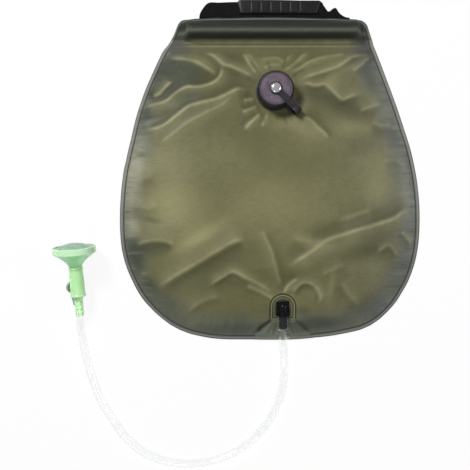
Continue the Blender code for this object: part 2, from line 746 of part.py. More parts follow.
def outlet(black):
    """The outlet: a U-shaped flange under the sheet, a block in the window, elbow and barb."""
    high = OUTLET_LEVEL - SHEET - GAP
    low = high - OUTLET_PLATE
    half = OUTLET_PLATE_WIDTH / 2
    centre_y = OUTLET_HIGH - half
    outline = [(OUTLET_X - half, OUTLET_LOW), (OUTLET_X + half, OUTLET_LOW)]
    for i in range(TINY_STEPS + 1):
        turn = math.pi * i / TINY_STEPS
        outline.append((OUTLET_X + half * math.cos(turn), centre_y + half * math.sin(turn)))
    fitting = prism("outlet_fitting", outline, low, high, black)

    wide = WINDOW_WIDTH / 2 - GAP
    back = WINDOW_LOW + WINDOW_LENGTH - GAP
    join(fitting, box("outlet_block", (OUTLET_X - wide, SHOULDER_AT, low + OUTLET_PLATE / 2),
                      (OUTLET_X + wide, back, OUTLET_LEVEL + WINDOW_PROUD)))
    elbow_back = back - ELBOW_RADIUS
    join(fitting, box("outlet_post", (OUTLET_X - ELBOW_RADIUS + GAP, SHOULDER_AT + GAP,
                                      OUTLET_LEVEL),
                      (OUTLET_X + ELBOW_RADIUS - GAP, elbow_back, ELBOW_Z)))
    run = elbow_back - SHOULDER_AT
    profile = [(0, -run - ELBOW_RADIUS + GAP)]
    round_steps = 4
    for i in range(1, round_steps + 1):
        turn = math.pi / 2 * i / round_steps
        profile.append((ELBOW_RADIUS * math.sin(turn), -run - ELBOW_RADIUS * math.cos(turn)))
    profile.append((ELBOW_RADIUS, 0))
    profile += barb(BARB_LENGTH, BARB_RINGS)
    profile.append((0, BARB_LENGTH))
    tube = turned("outlet_tube", profile, None, (OUTLET_X, SHOULDER_AT, ELBOW_Z), TINY_STEPS)
    tube.rotation_euler = (math.pi / 2, 0, 0)
    join(fitting, tube)
    way = rod("outlet_waterway", WATERWAY_RADIUS, -run * 0.6, BARB_LENGTH + OVERRUN, SMALL_STEPS)
    way.location = (OUTLET_X, SHOULDER_AT, ELBOW_Z)
    way.rotation_euler = (math.pi / 2, 0, 0)
    cut(fitting, way)
    drop = rod("outlet_drop", WATERWAY_RADIUS, low - OVERRUN, ELBOW_Z + WATERWAY_RADIUS / 2)
    drop.location = (OUTLET_X, SHOULDER_AT + run * 0.45, 0)
    cut(fitting, drop)


# The hose's route over the floor, between its two straight ends
ROUTE = [
    (0.0190, -0.2380, 0.0138), (0.0202, -0.2530, 0.0096), (0.0208, -0.2680, 0.0066),
    (0.0202, -0.2830, 0.0061), (0.0182, -0.2983, 0.0061), (0.0148, -0.3120, 0.0061),
    (0.0097, -0.3245, 0.0061), (0.0022, -0.3395, 0.0061), (-0.0075, -0.3535, 0.0061),
    (-0.0195, -0.3672, 0.0061), (-0.0355, -0.3805, 0.0061), (-0.0570, -0.3930, 0.0061),
    (-0.0830, -0.4022, 0.0061), (-0.1130, -0.4060, 0.0061), (-0.1450, -0.4025, 0.0061),
    (-0.1720, -0.3932, 0.0061), (-0.1905, -0.3808, 0.0061), (-0.2050, -0.3675, 0.0061),
    (-0.2160, -0.3535, 0.0061), (-0.2258, -0.3390, 0.0061), (-0.2350, -0.3240, 0.0061),
    (-0.2430, -0.3080, 0.0061), (-0.2492, -0.2915, 0.0061), (-0.2545, -0.2755, 0.0061),
    (-0.2587, -0.2600, 0.0064), (-0.2617, -0.2455, 0.0086),
]


def smooth_route(stops, parts):
    """Points on a smooth curve through the stops, with the given parts between each two."""
    points = []
    for i in range(len(stops) - 1):
        a, b = stops[i], stops[i + 1]
        before = stops[i - 1] if i else a * 2 - b
        after = stops[i + 2] if i + 2 < len(stops) else b * 2 - a
        leave = (b - before) / 2
        arrive = (after - a) / 2
        for j in range(parts):
            t = j / parts
            points.append(a * (2 * t ** 3 - 3 * t ** 2 + 1) + leave * (t ** 3 - 2 * t ** 2 + t)
                          + b * (3 * t ** 2 - 2 * t ** 3) + arrive * (t ** 3 - t ** 2))
    return points + [stops[-1]]


def head_frame():
    """An empty at the tip of the head's barb, its Z along the head, its Y down to the floor."""
    rest = RIM_RADIUS * math.cos(HEAD_TILT) - RIM_BACK * math.sin(HEAD_TILT)
    frame = bpy.data.objects.new("head_frame", None)
    frame.location = (HEAD_X, HEAD_Y, rest)
    frame.rotation_euler = (HEAD_TILT - math.pi / 2, 0, HEAD_LEAN)
    bpy.context.scene.collection.objects.link(frame)
    bpy.context.view_layer.update()
    return frame


BODY_TOP = HEAD_BARB_LENGTH + HEAD_BODY_LENGTH
RIM_FRONT = BODY_TOP + GAP + HORN_LENGTH
RIM_BACK = RIM_FRONT - RIM_LENGTH
TAP_AT = HEAD_BARB_LENGTH + TAP_FROM_BODY
# The plug's snap ring lies past the waterway, in a groove of the blind bore
CLIP_HIGH = -WATERWAY_RADIUS - PLUG_TAIL
CLIP_LOW = CLIP_HIGH - CLIP
PLUG_END = CLIP_LOW - GAP - PLUG_TAIL


def hose(clear, frame):
    """The hose, square to both barbs, with its bends on the floor."""
    start = Vector((OUTLET_X, SHOULDER_AT - BARB_LENGTH - GAP, ELBOW_Z))
    axis = frame.matrix_world.to_3x3() @ Vector((0, 0, 1))
    end = frame.matrix_world.translation - axis * GAP
    straight = HOSE_RADIUS * 2
    stops = [start, start - Vector((0, straight, 0))]
    stops += [Vector(p) for p in ROUTE]
    stops += [end - axis * straight * 2, end - axis * straight, end]
    curve = bpy.data.curves.new("hose", "CURVE")
    curve.dimensions = "3D"
    curve.bevel_depth = HOSE_RADIUS
    curve.bevel_resolution = 2
    curve.use_fill_caps = True
    route = smooth_route(stops, 2)
    spline = curve.splines.new("POLY")
    spline.points.add(len(route) - 1)
    for point, place in zip(spline.points, route):
        point.co = (*place, 1)
    curve.materials.append(clear)
    obj = bpy.data.objects.new("hose", curve)
    bpy.context.scene.collection.objects.link(obj)


def shower_head(mint, mint_dark, frame):
    """Body with barb and tap bosses, flared horn, and the domed rose with its holes."""
    skirt = HEAD_BODY_RADIUS + HEAD_SKIRT
    snap = BODY_TOP - HEAD_SNAP_LENGTH * 2
    profile = [(0, 0)]
    profile += [(r, HEAD_BARB_LENGTH - z) for r, z in reversed(barb(HEAD_BARB_LENGTH, 4))]
    profile += [(skirt, HEAD_BARB_LENGTH), (skirt, HEAD_BARB_LENGTH + HEAD_SKIRT * 3),
                (HEAD_BODY_RADIUS, HEAD_BARB_LENGTH + HEAD_SKIRT * 4),
                (HEAD_NECK_RADIUS, snap), (HEAD_NECK_RADIUS + HEAD_SNAP, snap + HEAD_SNAP),
                (HEAD_NECK_RADIUS + HEAD_SNAP, snap + HEAD_SNAP_LENGTH - HEAD_SNAP),
                (HEAD_NECK_RADIUS, snap + HEAD_SNAP_LENGTH), (HEAD_NECK_RADIUS, BODY_TOP),
                (0, BODY_TOP)]
    body = place(turned("head_body", profile, mint, steps=SMALL_STEPS), frame)
    tap = tap_matrix()
    boss = rod("tap_boss", BOSS_RADIUS, 0, BOSS_REACH, SMALL_STEPS)
    join(body, boss)
    boss.matrix_local = tap
    plug_hole = rod("plug_hole", PLUG_RADIUS + PLUG_CLEARANCE, PLUG_END - GAP,
                    BOSS_REACH + OVERRUN)
    cut(body, plug_hole)
    plug_hole.matrix_local = tap
    clip_groove = rod("clip_groove", CLIP_RADIUS + GAP, CLIP_LOW - GAP, CLIP_HIGH + GAP)
    cut(body, clip_groove)
    clip_groove.matrix_local = tap
    socket_low = BODY_TOP - SPIGOT_LENGTH - GAP
    way = [(0, -OVERRUN), (WATERWAY_RADIUS, -OVERRUN), (WATERWAY_RADIUS, socket_low),
           (SPIGOT_RADIUS + GAP, socket_low), (SPIGOT_RADIUS + GAP, BODY_TOP + OVERRUN),
           (0, BODY_TOP + OVERRUN)]
    cut(body, turned("head_waterway", way, None, steps=TINY_STEPS))

    base = BODY_TOP + GAP
    rose_low = RIM_FRONT - ROSE_WALL - HEAD_SKIRT
    ledge = rose_low - GAP
    inner_rim = RIM_RADIUS - HORN_WALL
    flare_power = 1.45
    flare_steps = 7
    outer = [(SPIGOT_RADIUS, BODY_TOP - SPIGOT_LENGTH), (SPIGOT_RADIUS, base)]
    for i in range(flare_steps + 1):
        t = i / flare_steps
        outer.append((HEAD_NECK_RADIUS + (RIM_RADIUS - HEAD_NECK_RADIUS) * t ** flare_power,
                      base + (RIM_BACK - base) * t))
    inner = [(inner_rim, RIM_FRONT), (inner_rim, ledge), (inner_rim - HORN_WALL, ledge)]
    for i in range(flare_steps, -1, -1):
        t = i / flare_steps
        rise = base + (RIM_BACK - base) * t + HORN_WALL
        reach = WATERWAY_RADIUS * 2 - HORN_WALL
        inner.append((reach + (inner_rim - HORN_WALL - reach) * t ** flare_power, rise))
    inner.append((WATERWAY_RADIUS, base))
    inner.append((WATERWAY_RADIUS, BODY_TOP - SPIGOT_LENGTH))
    profile = outer + [(RIM_RADIUS, RIM_FRONT)] + inner
    place(turned("head_horn", profile, mint_dark, sharp=40), frame)

    outer_radius = inner_rim - GAP
    dome_steps = 6
    dome = []
    for i in range(dome_steps + 1):
        r = ROSE_DOME_RADIUS * i / dome_steps
        dome.append((r, ROSE_DOME * (1 - (r / ROSE_DOME_RADIUS) ** 2)))
    profile = [(r, rose_low + z) for r, z in dome]
    profile += [(outer_radius, rose_low), (outer_radius, rose_low + ROSE_WALL)]
    profile += [(r, rose_low + ROSE_WALL + z) for r, z in reversed(dome)]
    rose = place(turned("head_rose", profile, mint, sharp=40), frame)
    points, faces = [], []
    sides = 6
    spots = [(0.0, 0.0)]
    for ring in range(1, ROSE_RINGS + 1):
        for i in range(6 * ring):
            turn = math.tau * i / (6 * ring)
            spots.append((ring * ROSE_RING_PITCH * math.cos(turn),
                          ring * ROSE_RING_PITCH * math.sin(turn)))
    for x, y in spots:
        rings = []
        for z in (rose_low - OVERRUN, rose_low + ROSE_DOME + ROSE_WALL + OVERRUN):
            rings.append([(x + ROSE_HOLE_RADIUS * math.cos(math.tau * k / sides),
                           y + ROSE_HOLE_RADIUS * math.sin(math.tau * k / sides), z)
                          for k in range(sides)])
        more, sheets = rings_mesh(rings)
        faces += [tuple(len(points) + v for v in face) for face in sheets]
        points += more
    cut(rose, mesh_object("rose_holes", points, faces, None))


def tap_matrix():
    """The tap's own frame on the head: Z along the plug to its knob, X along the open arm."""
    out = Vector((-math.cos(TAP_DROP), math.sin(TAP_DROP), 0))
    arm = Vector((0, 0, -1))
    side = out.cross(arm)
    turn = Matrix((arm, side, out)).transposed().to_4x4()
    return Matrix.Translation((0, 0, TAP_AT)) @ turn


def tap(mint_dark, rubber, steel, frame):
    """The plug with its knob and arm in one, the seal under the knob, the snap ring inside."""
    groove = PLUG_RADIUS - CLIP
    knob = BOSS_REACH + GAP * 2 + SEAL
    knob_top = knob + KNOB_LENGTH
    profile = [(0, PLUG_END), (PLUG_RADIUS, PLUG_END), (PLUG_RADIUS, CLIP_LOW - GAP),
               (groove, CLIP_LOW - GAP), (groove, CLIP_HIGH + GAP), (PLUG_RADIUS, CLIP_HIGH + GAP),
               (PLUG_RADIUS, knob), (KNOB_RADIUS, knob), (KNOB_RADIUS, knob_top - KNOB_LENGTH / 3),
               (KNOB_RADIUS * 0.82, knob_top - KNOB_LENGTH / 12), (KNOB_RADIUS * 0.5, knob_top),
               (0, knob_top + GAP)]
    lever = turned("tap_lever", profile, mint_dark, steps=SMALL_STEPS)
    place(lever, frame, tap_matrix())
    inner = knob + GAP
    stations = [(KNOB_RADIUS / 2, ARM_WIDTH, 0), (ARM_LENGTH / 2, ARM_WIDTH, 0),
                (ARM_LENGTH * 0.96, ARM_TIP_WIDTH, ARM_DIP),
                (ARM_LENGTH, ARM_TIP_WIDTH * 0.7, ARM_DIP)]
    rings = []
    for x, wide, down in stations:
        low = inner - down
        high = low + ARM_THICKNESS
        rings.append([(x, -wide / 2, low), (x, wide / 2, low), (x, wide / 2, high),
                      (x, -wide / 2, high)])
    points, faces = rings_mesh(rings)
    arm = mesh_object("tap_arm", points, faces, None)
    join(lever, arm)
    arm.matrix_local = tap_matrix()
    way = rod("plug_waterway", WATERWAY_RADIUS, -PLUG_RADIUS * 2, PLUG_RADIUS * 2)
    cut(lever, way)
    way.matrix_local = tap_matrix() @ Matrix.Rotation(math.pi / 2, 4, "Y")

    profile = [(PLUG_RADIUS + GAP, BOSS_REACH + GAP), (BOSS_RADIUS, BOSS_REACH + GAP),
               (BOSS_RADIUS, BOSS_REACH + GAP + SEAL), (PLUG_RADIUS + GAP,
                                                        BOSS_REACH + GAP + SEAL)]
    seal = turned("tap_seal", profile, rubber, steps=SMALL_STEPS)
    place(seal, frame, tap_matrix())
    profile = [(groove + GAP, CLIP_LOW), (CLIP_RADIUS, CLIP_LOW), (CLIP_RADIUS, CLIP_HIGH),
               (groove + GAP, CLIP_HIGH)]
    clip = turned("tap_clip", profile, steel, steps=SMALL_STEPS)
    place(clip, frame, tap_matrix())


def main():
    clear_scene()
    olive = material("olive_sheet", (0.17, 0.16, 0.08), 0.45)
    back = material("black_sheet", (0.02, 0.02, 0.02), 0.5)
    webbing = material("black_webbing", (0.015, 0.015, 0.015), 0.85)
    rubber = material("black_rubber", (0.02, 0.02, 0.022), 0.6)
    moulding = material("black_moulding", (0.02, 0.02, 0.022), 0.4)
    white = material("white_tube", (0.8, 0.8, 0.8), 0.4)
    chrome = material("chrome", (0.8, 0.8, 0.8), 0.1, 1.0)
    steel = material("steel", (0.6, 0.6, 0.6), 0.3, 1.0)
    clear = material("clear_hose", (0.8, 0.8, 0.8), 0.2)
    mint = material("mint_plastic", (0.45, 0.8, 0.42), 0.35)
    mint_dark = material("mint_plastic_dark", (0.3, 0.7, 0.33), 0.35)
    bag_panels(olive, back)
    hanger(white, webbing)
    handle(webbing, rubber)
    filler_neck(moulding)
    filler_cap(moulding, rubber, chrome, steel)
    cap_tether(rubber)
    outlet(moulding)
    frame = head_frame()
    hose(clear, frame)
    shower_head(mint, mint_dark, frame)
    tap(mint_dark, rubber, steel, frame)


if __name__ == "__main__":
    main()
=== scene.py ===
"""Looks of the camp shower bag: sheets, webbing, mouldings, hose and shower head.

Everything is in metres, in the frame of the packed solids. The bag lies on the floor on its
back, +Y points to the handle and +Z out of its front.
"""
import math

import bmesh
import bpy
import numpy as np
from mathutils import Matrix, Vector


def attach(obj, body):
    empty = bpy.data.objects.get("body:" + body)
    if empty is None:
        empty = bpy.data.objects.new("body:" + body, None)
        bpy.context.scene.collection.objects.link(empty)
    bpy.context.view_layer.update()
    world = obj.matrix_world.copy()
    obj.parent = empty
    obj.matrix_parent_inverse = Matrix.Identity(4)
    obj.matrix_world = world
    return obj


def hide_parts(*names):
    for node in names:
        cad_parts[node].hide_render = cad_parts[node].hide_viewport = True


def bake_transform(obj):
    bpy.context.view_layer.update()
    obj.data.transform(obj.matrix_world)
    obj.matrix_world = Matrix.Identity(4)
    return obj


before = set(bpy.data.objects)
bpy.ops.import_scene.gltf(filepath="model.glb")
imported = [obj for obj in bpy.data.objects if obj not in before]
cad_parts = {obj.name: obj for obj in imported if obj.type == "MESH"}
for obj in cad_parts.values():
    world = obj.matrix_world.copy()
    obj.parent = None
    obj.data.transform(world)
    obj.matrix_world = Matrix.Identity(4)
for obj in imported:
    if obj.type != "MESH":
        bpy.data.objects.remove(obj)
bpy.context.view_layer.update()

bl_info = {
    "name": "Camp shower bag",
    "version": (1, 0, 0),
    "blender": (4, 5, 0),
    "location": "View3D > Sidebar > Shower bag",
    "description": "Builds a camp shower bag with its cap, handle, hose and shower head",
    "category": "Add Mesh",
}

# The two sheets and their outline, as the solids have it
BAG_WIDTH = 0.430
BAG_HEIGHT = 0.460
BELLY_HEIGHT = 0.176
SHOULDER_WIDTH = 0.298
SLEEVE_TOP_WIDTH = 0.274
SLEEVE_DEPTH = 0.042
TOP_BOW = 0.004
CORNER_RADIUS = 0.011
BELLY_POWER = 2.62
SHOULDER_POWER = 1.85
SHEET = 0.0006
GAP = 0.0003
SEAM = 0.007
TOP_Y = BAG_HEIGHT / 2
BOTTOM_Y = -BAG_HEIGHT / 2
BELLY_Y = BOTTOM_Y + BELLY_HEIGHT
SHOULDER_Y = TOP_Y - SLEEVE_DEPTH
CORNER_SHARE = 0.5 ** (1 / BELLY_POWER)
CORNER_X = BAG_WIDTH / 2 * CORNER_SHARE
CORNER_Y = BELLY_Y - BELLY_HEIGHT * CORNER_SHARE
FRONT_Z = SHEET + GAP
LAID_Z = FRONT_Z + SHEET
DOME_RUN = 0.100
SETTLE_RUN = 0.070

# Rod pocket
ROD_Y = 0.2085
ROD_SHIFT = 0.003
ROD_LENGTH = 0.230
POCKET_RISE = 0.0208
POCKET_LOW = 0.0133
POCKET_HIGH = 0.0175
POCKET_END_RUN = 0.013
POCKET_FOOT = 0.1945
POCKET_CROWN = 0.2062
# The two pale weld lines under the pocket: level, half width and strength
POCKET_WELDS = ((0.1942, 0.0034, 1.25), (0.1884, 0.0022, 0.55))
# Level from which the cloth past the rod's left end is gathered, and by what share
GATHER_Y = 0.1835
GATHERED = 0.41

# Webbing, the two legs that loop round the rod, and the grip's ends
LEGS = (-0.090, 0.104)
WEBBING = 0.0016
WEBBING_WIDTH = 0.020
WEBBING_Z = 0.0017
ROD_Z = 0.0108
LOOP_RADIUS = 0.0099
GRIP_ENDS = (-0.0455, 0.0735)

# Filler, cap and outlet
NECK = (0.007, 0.121)
AT_NECK = Matrix.Translation((*NECK, 0))
NECK_HOLE = 0.0213
NECK_LEVEL = 0.0142
FLAT_RADIUS = 0.0290
OUTLET_X = 0.0185
OUTLET_LOW = -0.2016
OUTLET_HIGH = -0.1646
OUTLET_MID = (OUTLET_LOW + OUTLET_HIGH) / 2
OUTLET_LEVEL = 0.0085
WINDOW_HALF = 0.009
WINDOW_Y = (-0.1964, -0.1754)
TENT_RUN = 0.0215
BARB_Z = 0.0151
BARB_SHOULDER_Y = -0.1961
WATERWAY = 0.0024

# What every colour among the settings has in common
TINT = {"subtype": "COLOR", "size": 3, "min": 0, "max": 1}


class BagSettings(bpy.types.PropertyGroup):
    """The bag's two sheets."""

    colour: bpy.props.FloatVectorProperty(
        name="Front colour", description="Colour of the coated front sheet",
        default=(0.122, 0.118, 0.047), **TINT)
    # The border's greyer, darker tone is painted sheen and painted shade of the sheet sloping to
    # its weld
    border_sheen_and_shade_colour: bpy.props.FloatVectorProperty(
        name="Border colour", description="Colour of the front sheet towards its weld",
        default=(0.074, 0.084, 0.074), **TINT)
    back_colour: bpy.props.FloatVectorProperty(
        name="Back colour", description="Colour of the sheet that gathers the sun's heat",
        default=(0.012, 0.012, 0.013), **TINT)
    puff: bpy.props.FloatProperty(
        name="Puff", description="How far the front sheet stands over the back one",
        default=0.0198, min=0.012, max=0.021, unit="LENGTH")
    cell: bpy.props.FloatProperty(
        name="Mesh step", description="Distance between the points of the sheet's mesh",
        default=0.0024, min=0.0018, max=0.01, unit="LENGTH")
    crease_depth: bpy.props.FloatProperty(
        name="Crease depth", description="Height of the creases as a share of the drawn one",
        default=0.7, min=0, max=2, subtype="FACTOR")


class HandleSettings(bpy.types.PropertyGroup):
    """Webbing and grip."""

    webbing_colour: bpy.props.FloatVectorProperty(
        name="Webbing colour", description="Colour of the woven handle",
        default=(0.0055, 0.0055, 0.006), **TINT)
    grip_colour: bpy.props.FloatVectorProperty(
        name="Grip colour", description="Colour of the grip's rubber",
        default=(0.0040, 0.0040, 0.0048), **TINT)
    pads: bpy.props.IntProperty(
        name="Pads", description="Raised pads along the grip", default=6, min=2, max=12)
    pitch: bpy.props.FloatProperty(
        name="Pad pitch", description="Distance from pad to pad", default=0.0139, min=0.006,
        max=0.03, unit="LENGTH")


class CapSettings(bpy.types.PropertyGroup):
    """Filler cap, rivet and tether."""

    colour: bpy.props.FloatVectorProperty(
        name="Cap colour", description="Colour of the cap's side",
        default=(0.012, 0.011, 0.011), **TINT)
    # The top's grey is mostly a painted reflection of the light on the black top, with wear laid
    # over it
    top_sheen_colour: bpy.props.FloatVectorProperty(
        name="Top colour", description="Colour of the cap's worn top",
        default=(0.076, 0.054, 0.077), **TINT)
    ribs: bpy.props.IntProperty(
        name="Ribs", description="Ribs round the cap's skirt", default=48, min=12, max=96)
    rib_depth: bpy.props.FloatProperty(
        name="Rib depth", description="How far each rib stands out", default=0.0007,
        min=0.0002, max=0.0012, unit="LENGTH")


class WaterSettings(bpy.types.PropertyGroup):
    """Outlet, hose and shower head."""

    outlet_colour: bpy.props.FloatVectorProperty(
        name="Outlet colour", description="Colour of the outlet's moulding",
        default=(0.003, 0.003, 0.005), **TINT)
    hose_colour: bpy.props.FloatVectorProperty(
        name="Hose tint", description="Tint of the clear hose",
        default=(0.97, 0.975, 0.98), **TINT)
    hose_radius: bpy.props.FloatProperty(
        name="Hose radius", description="Outer radius of the hose", default=0.006,
        min=0.004, max=0.008, unit="LENGTH")
    hose_bore: bpy.props.FloatProperty(
        name="Hose bore", description="Inner radius of the hose", default=0.0042,
        min=0.002, max=0.0055, unit="LENGTH")
    head_colour: bpy.props.FloatVectorProperty(
        name="Head colour", description="Colour of the shower head",
        default=(0.56, 0.92, 0.48), **TINT)
    horn_colour: bpy.props.FloatVectorProperty(
        name="Horn colour", description="Colour of the flared horn",
        default=(0.50, 0.98, 0.52), **TINT)
    rose_rings: bpy.props.IntProperty(
        name="Rose rings", description="Rings of holes in the rose", default=3, min=1, max=3)
    rose_hole: bpy.props.FloatProperty(
        name="Rose hole", description="Radius of each hole in the rose", default=0.0008,
        min=0.0004, max=0.0015, unit="LENGTH")


def settings(name):
    """The settings of one part of the bag."""
    return getattr(bpy.context.scene, "shower_" + name)


# Creases of the front sheet: points along the crest in millimetres, height and width of the
# crest, depth of the hollow beside it, and the side the hollow lies on (1 is left of the run)
CREASES = [
    ([(-100, 183), (-83, 177), (-73, 169), (-65, 161), (-54, 158), (-35, 149), (-18, 140)],
     2.3, 3.4, 1.5, -1),
    ([(-145, 172), (-112, 168), (-94, 159), (-74, 146)], 2.2, 4.0, 1.8, -1),
    ([(-67, 162), (-68, 149), (-73, 139), (-85, 131), (-102, 127), (-118, 127), (-133, 119),
      (-148, 108), (-167, 104), (-176, 102)], 2.4, 4.2, 2.2, -1),
    ([(-26, 123), (-44, 124), (-54, 120), (-75, 110), (-102, 103), (-115, 99), (-133, 86),
      (-150, 74), (-167, 69), (-182, 68)], 2.6, 4.6, 1.6, -1),
    ([(-48, 120), (-67, 102), (-91, 90), (-117, 76), (-142, 58), (-160, 46)], 1.5, 4.5, 1.0, -1),
    ([(-139, 138), (-148, 129), (-158, 119), (-166, 118)], 2.4, 3.6, 1.2, 1),
    ([(-37, 108), (-30, 109), (-21, 111)], 2.4, 2.6, 1.4, 1),
    ([(-39, 91), (-29, 95), (-17, 101)], 2.4, 2.6, 1.4, 1),
    ([(-36, 66), (-26, 77), (-13, 91)], 2.6, 3.4, 1.6, 1),
    ([(-12, 70), (-7, 80), (-3, 90)], 2.0, 2.4, 1.2, 1),
    ([(-38, 180), (-28, 162), (-17, 145)], 1.8, 2.6, 1.0, -1),
    ([(-32, 181), (-23, 166), (-14, 153)], 1.1, 2.0, 0.8, -1),
    ([(-15, 164), (-4, 170), (12, 170), (21, 165), (36, 181)], 1.3, 2.4, 0.8, 1),
    ([(-10, 155), (5, 160), (16, 158)], 0.9, 2.0, 0.5, 1),
    ([(22, 150), (38, 165), (56, 182)], 1.7, 2.6, 1.0, 1),
    ([(28, 149), (42, 155), (57, 165), (77, 172), (98, 176), (109, 180)], 1.8, 3.0, 1.2, 1),
    ([(36, 135), (59, 145), (77, 151), (98, 159), (116, 171), (135, 176), (144, 180)],
     2.2, 3.6, 1.4, -1),
    ([(37, 128), (52, 133), (63, 130), (77, 132), (86, 125), (94, 116), (102, 110), (116, 116),
      (141, 124)], 1.8, 4.2, 2.2, -1),
    ([(44, 86), (57, 79), (67, 69), (76, 61), (82, 52)], 1.9, 3.4, 1.6, 1),
    ([(118, 151), (130, 160), (145, 173)], 1.6, 3.2, 1.0, -1),
    ([(126, 94), (144, 101), (162, 107)], 1.4, 4.0, 1.0, -1),
    ([(205, -44), (188, -50), (175, -58), (151, -66), (122, -74), (98, -82), (79, -89),
      (58, -104), (38, -117), (22, -127)], 2.9, 6.0, 2.6, -1),
    ([(142, -45), (120, -53), (94, -62)], 1.1, 6.0, 0.8, -1),
    ([(32, -84), (46, -88), (59, -90)], 1.0, 5.0, 0.8, -1),
    ([(186, -75), (195, -83), (205, -94)], 1.5, 4.0, 1.0, -1),
    ([(150, -104), (169, -95), (184, -112)], 1.2, 4.5, 0.8, -1),
    ([(72, -136), (88, -128), (104, -121)], 0.9, 6.0, 0.6, -1),
    ([(-12, -72), (-6, -88), (1, -103), (9, -133), (17, -158)], 1.5, 4.5, 1.0, 1),
    ([(-88, -152), (-70, -141), (-52, -132), (-35, -140), (-14, -151), (9, -168)],
     2.6, 3.4, 1.6, -1),
    ([(-34, -152), (-14, -160), (7, -172)], 2.2, 2.6, 1.0, -1),
    ([(19, -165), (27, -151), (40, -142)], 2.6, 3.0, 1.4, 1),
    ([(28, -171), (39, -153), (51, -147), (64, -154), (71, -166), (70, -178)],
     2.6, 3.4, 1.6, -1),
    ([(-164, -155), (-135, -138), (-104, -120), (-79, -105), (-52, -90), (-34, -86)],
     2.3, 6.5, 2.6, -1),
    ([(-192, -94), (-170, -88), (-148, -88), (-132, -94)], 1.5, 6.0, 2.0, -1),
    ([(-196, -38), (-176, -42), (-158, -38)], 1.0, 6.0, 1.2, -1),
    ([(-206, 4), (-184, 0), (-164, 6)], 0.8, 7.0, 0.8, -1),
    ([(196, 18), (176, 26), (160, 24)], 0.9, 7.0, 0.8, 1),
    ([(178, 78), (160, 74), (144, 80)], 0.9, 6.0, 0.9, 1),
    ([(-118, -186), (-96, -172), (-70, -166)], 0.9, 5.0, 0.8, -1),
    ([(128, -178), (112, -164), (100, -146)], 0.9, 5.0, 0.8, 1),
]

# Broad soft hollows and swells: centre, reach along X and Y, turn and rise, in millimetres
SWELLS = [
    (-148, 150, 26, 16, 35, -3.0), (-128, 112, 20, 9, 20, -2.4), (-160, 86, 20, 8, 5, -2.4),
    (-90, 148, 20, 10, -30, -1.6), (92, 142, 22, 12, -10, -2.2), (96, 88, 26, 20, 10, -3.0),
    (120, 60, 28, 12, 0, 2.0), (150, 128, 20, 14, 30, -1.6), (168, 40, 26, 20, 0, -1.8),
    (-176, 4, 26, 16, 0, 1.4), (-160, -58, 30, 13, 12, -2.0), (-92, -140, 46, 15, 33, -2.0),
    (-20, -112, 26, 22, 0, 1.6), (118, -104, 50, 14, -18, -2.6), (60, -60, 40, 18, -14, 1.4),
    (150, -140, 30, 18, 40, 1.2), (-40, 20, 60, 30, 10, 1.2), (60, 0, 50, 30, -12, 1.0),
    (-110, -20, 40, 26, 0, 1.4), (44, -178, 14, 16, 0, 1.6), (-12, -186, 12, 14, 20, 1.4),
]

# Painted light and shade on the cloth from the top down, as paler and darker patches: centre,
# reach along X and Y and turn, in millimetres and degrees, and how much painted light (over 0)
# or painted shade (under 0) each one gives
LIGHT_AND_SHADE_PATCHES = [
    (133, 178, 16, 6, 20, -0.6), (-49, 170, 16, 8, -20, -0.45), (-151, 155, 17, 10, 50, -1.1),
    (104, 154, 18, 7, 15, 0.3), (-116, 152, 28, 15, -20, -0.35), (-58, 152, 26, 12, 0, -0.35),
    (70, 152, 20, 10, 20, -0.3), (60, 150, 50, 24, 0, -0.15), (143, 143, 10, 24, 25, -0.6),
    (-148, 140, 34, 34, -20, -0.45), (87, 137, 12, 16, -20, 0.5), (-99, 126, 22, 9, 15, -0.3),
    (-92, 124, 68, 56, 10, -0.72), (-163, 122, 15, 6, 25, -0.8), (66, 115, 32, 13, -8, -0.75),
    (158, 112, 15, 36, 24, 0.2), (110, 96, 32, 13, -14, -0.75), (-82, 92, 40, 9, 26, 0.35),
    (58, 92, 26, 14, -20, -0.4), (-176, 90, 13, 8, 30, -0.7), (185, 80, 8, 40, 24, 0.2),
    (17, 76, 30, 12, 0, 0.25), (123, 70, 32, 10, 0, 0.35), (50, 66, 22, 13, -20, 0.45),
    (155, 66, 10, 9, 0, -0.4), (-20, 60, 60, 26, 0, -0.25), (54, 48, 48, 14, 0, 0.1),
    (128, 41, 24, 13, 0, -0.3), (-185, 33, 9, 3, 0, -0.7), (174, 26, 12, 5, -20, -0.5),
    (-147, 24, 34, 22, 0, 0.3), (150, 24, 30, 20, 0, 0.25), (206, 10, 9, 60, 0, -0.3),
    (-194, 4, 14, 50, -10, 1.1), (-144, -12, 30, 22, 0, 0.3), (150, -14, 18, 22, 0, 0.4),
    (199, -20, 12, 46, 4, 0.45), (0, -40, 74, 42, 0, 0.3), (-122, -41, 36, 34, 0, 0.4),
    (-150, -46, 40, 26, 0, 0.6), (-166, -60, 15, 4, -8, -0.6), (115, -60, 32, 5, 15, -0.3),
    (-197, -72, 12, 15, 0, 0.9), (140, -74, 30, 12, 14, -0.35), (158, -74, 36, 13, 14, -0.45),
    (-95, -82, 40, 9, 31, 0.65), (-112, -84, 34, 18, 31, 0.45), (60, -92, 30, 8, -14, 0.5),
    (-166, -102, 24, 11, 0, -0.6), (150, -104, 40, 16, 20, -0.35), (118, -106, 56, 12, 18, -0.55),
    (-192, -110, 12, 24, 12, -1.1), (175, -120, 18, 28, 0, -0.35), (-66, -122, 42, 15, 31, -0.55),
    (-182, -136, 6, 4, 0, 0.6), (-58, -148, 26, 12, 0, -0.4), (86, -150, 5, 26, -8, 0.4),
    (-172, -151, 9, 13, 45, -0.8), (-24, -151, 26, 6, -31, 0.35), (31, -152, 12, 4, 50, 0.35),
    (-98, -156, 22, 14, 0, -0.25), (64, -162, 12, 10, 0, 0.3), (-144, -172, 22, 9, -35, -0.4),
    (130, -178, 30, 12, 35, -0.6), (-8, -186, 16, 12, 0, -0.35), (47, -189, 11, 8, 0, -0.6),
    (66, -206, 40, 10, 5, -1.1), (-60, -212, 80, 7, 0, -0.5),
]

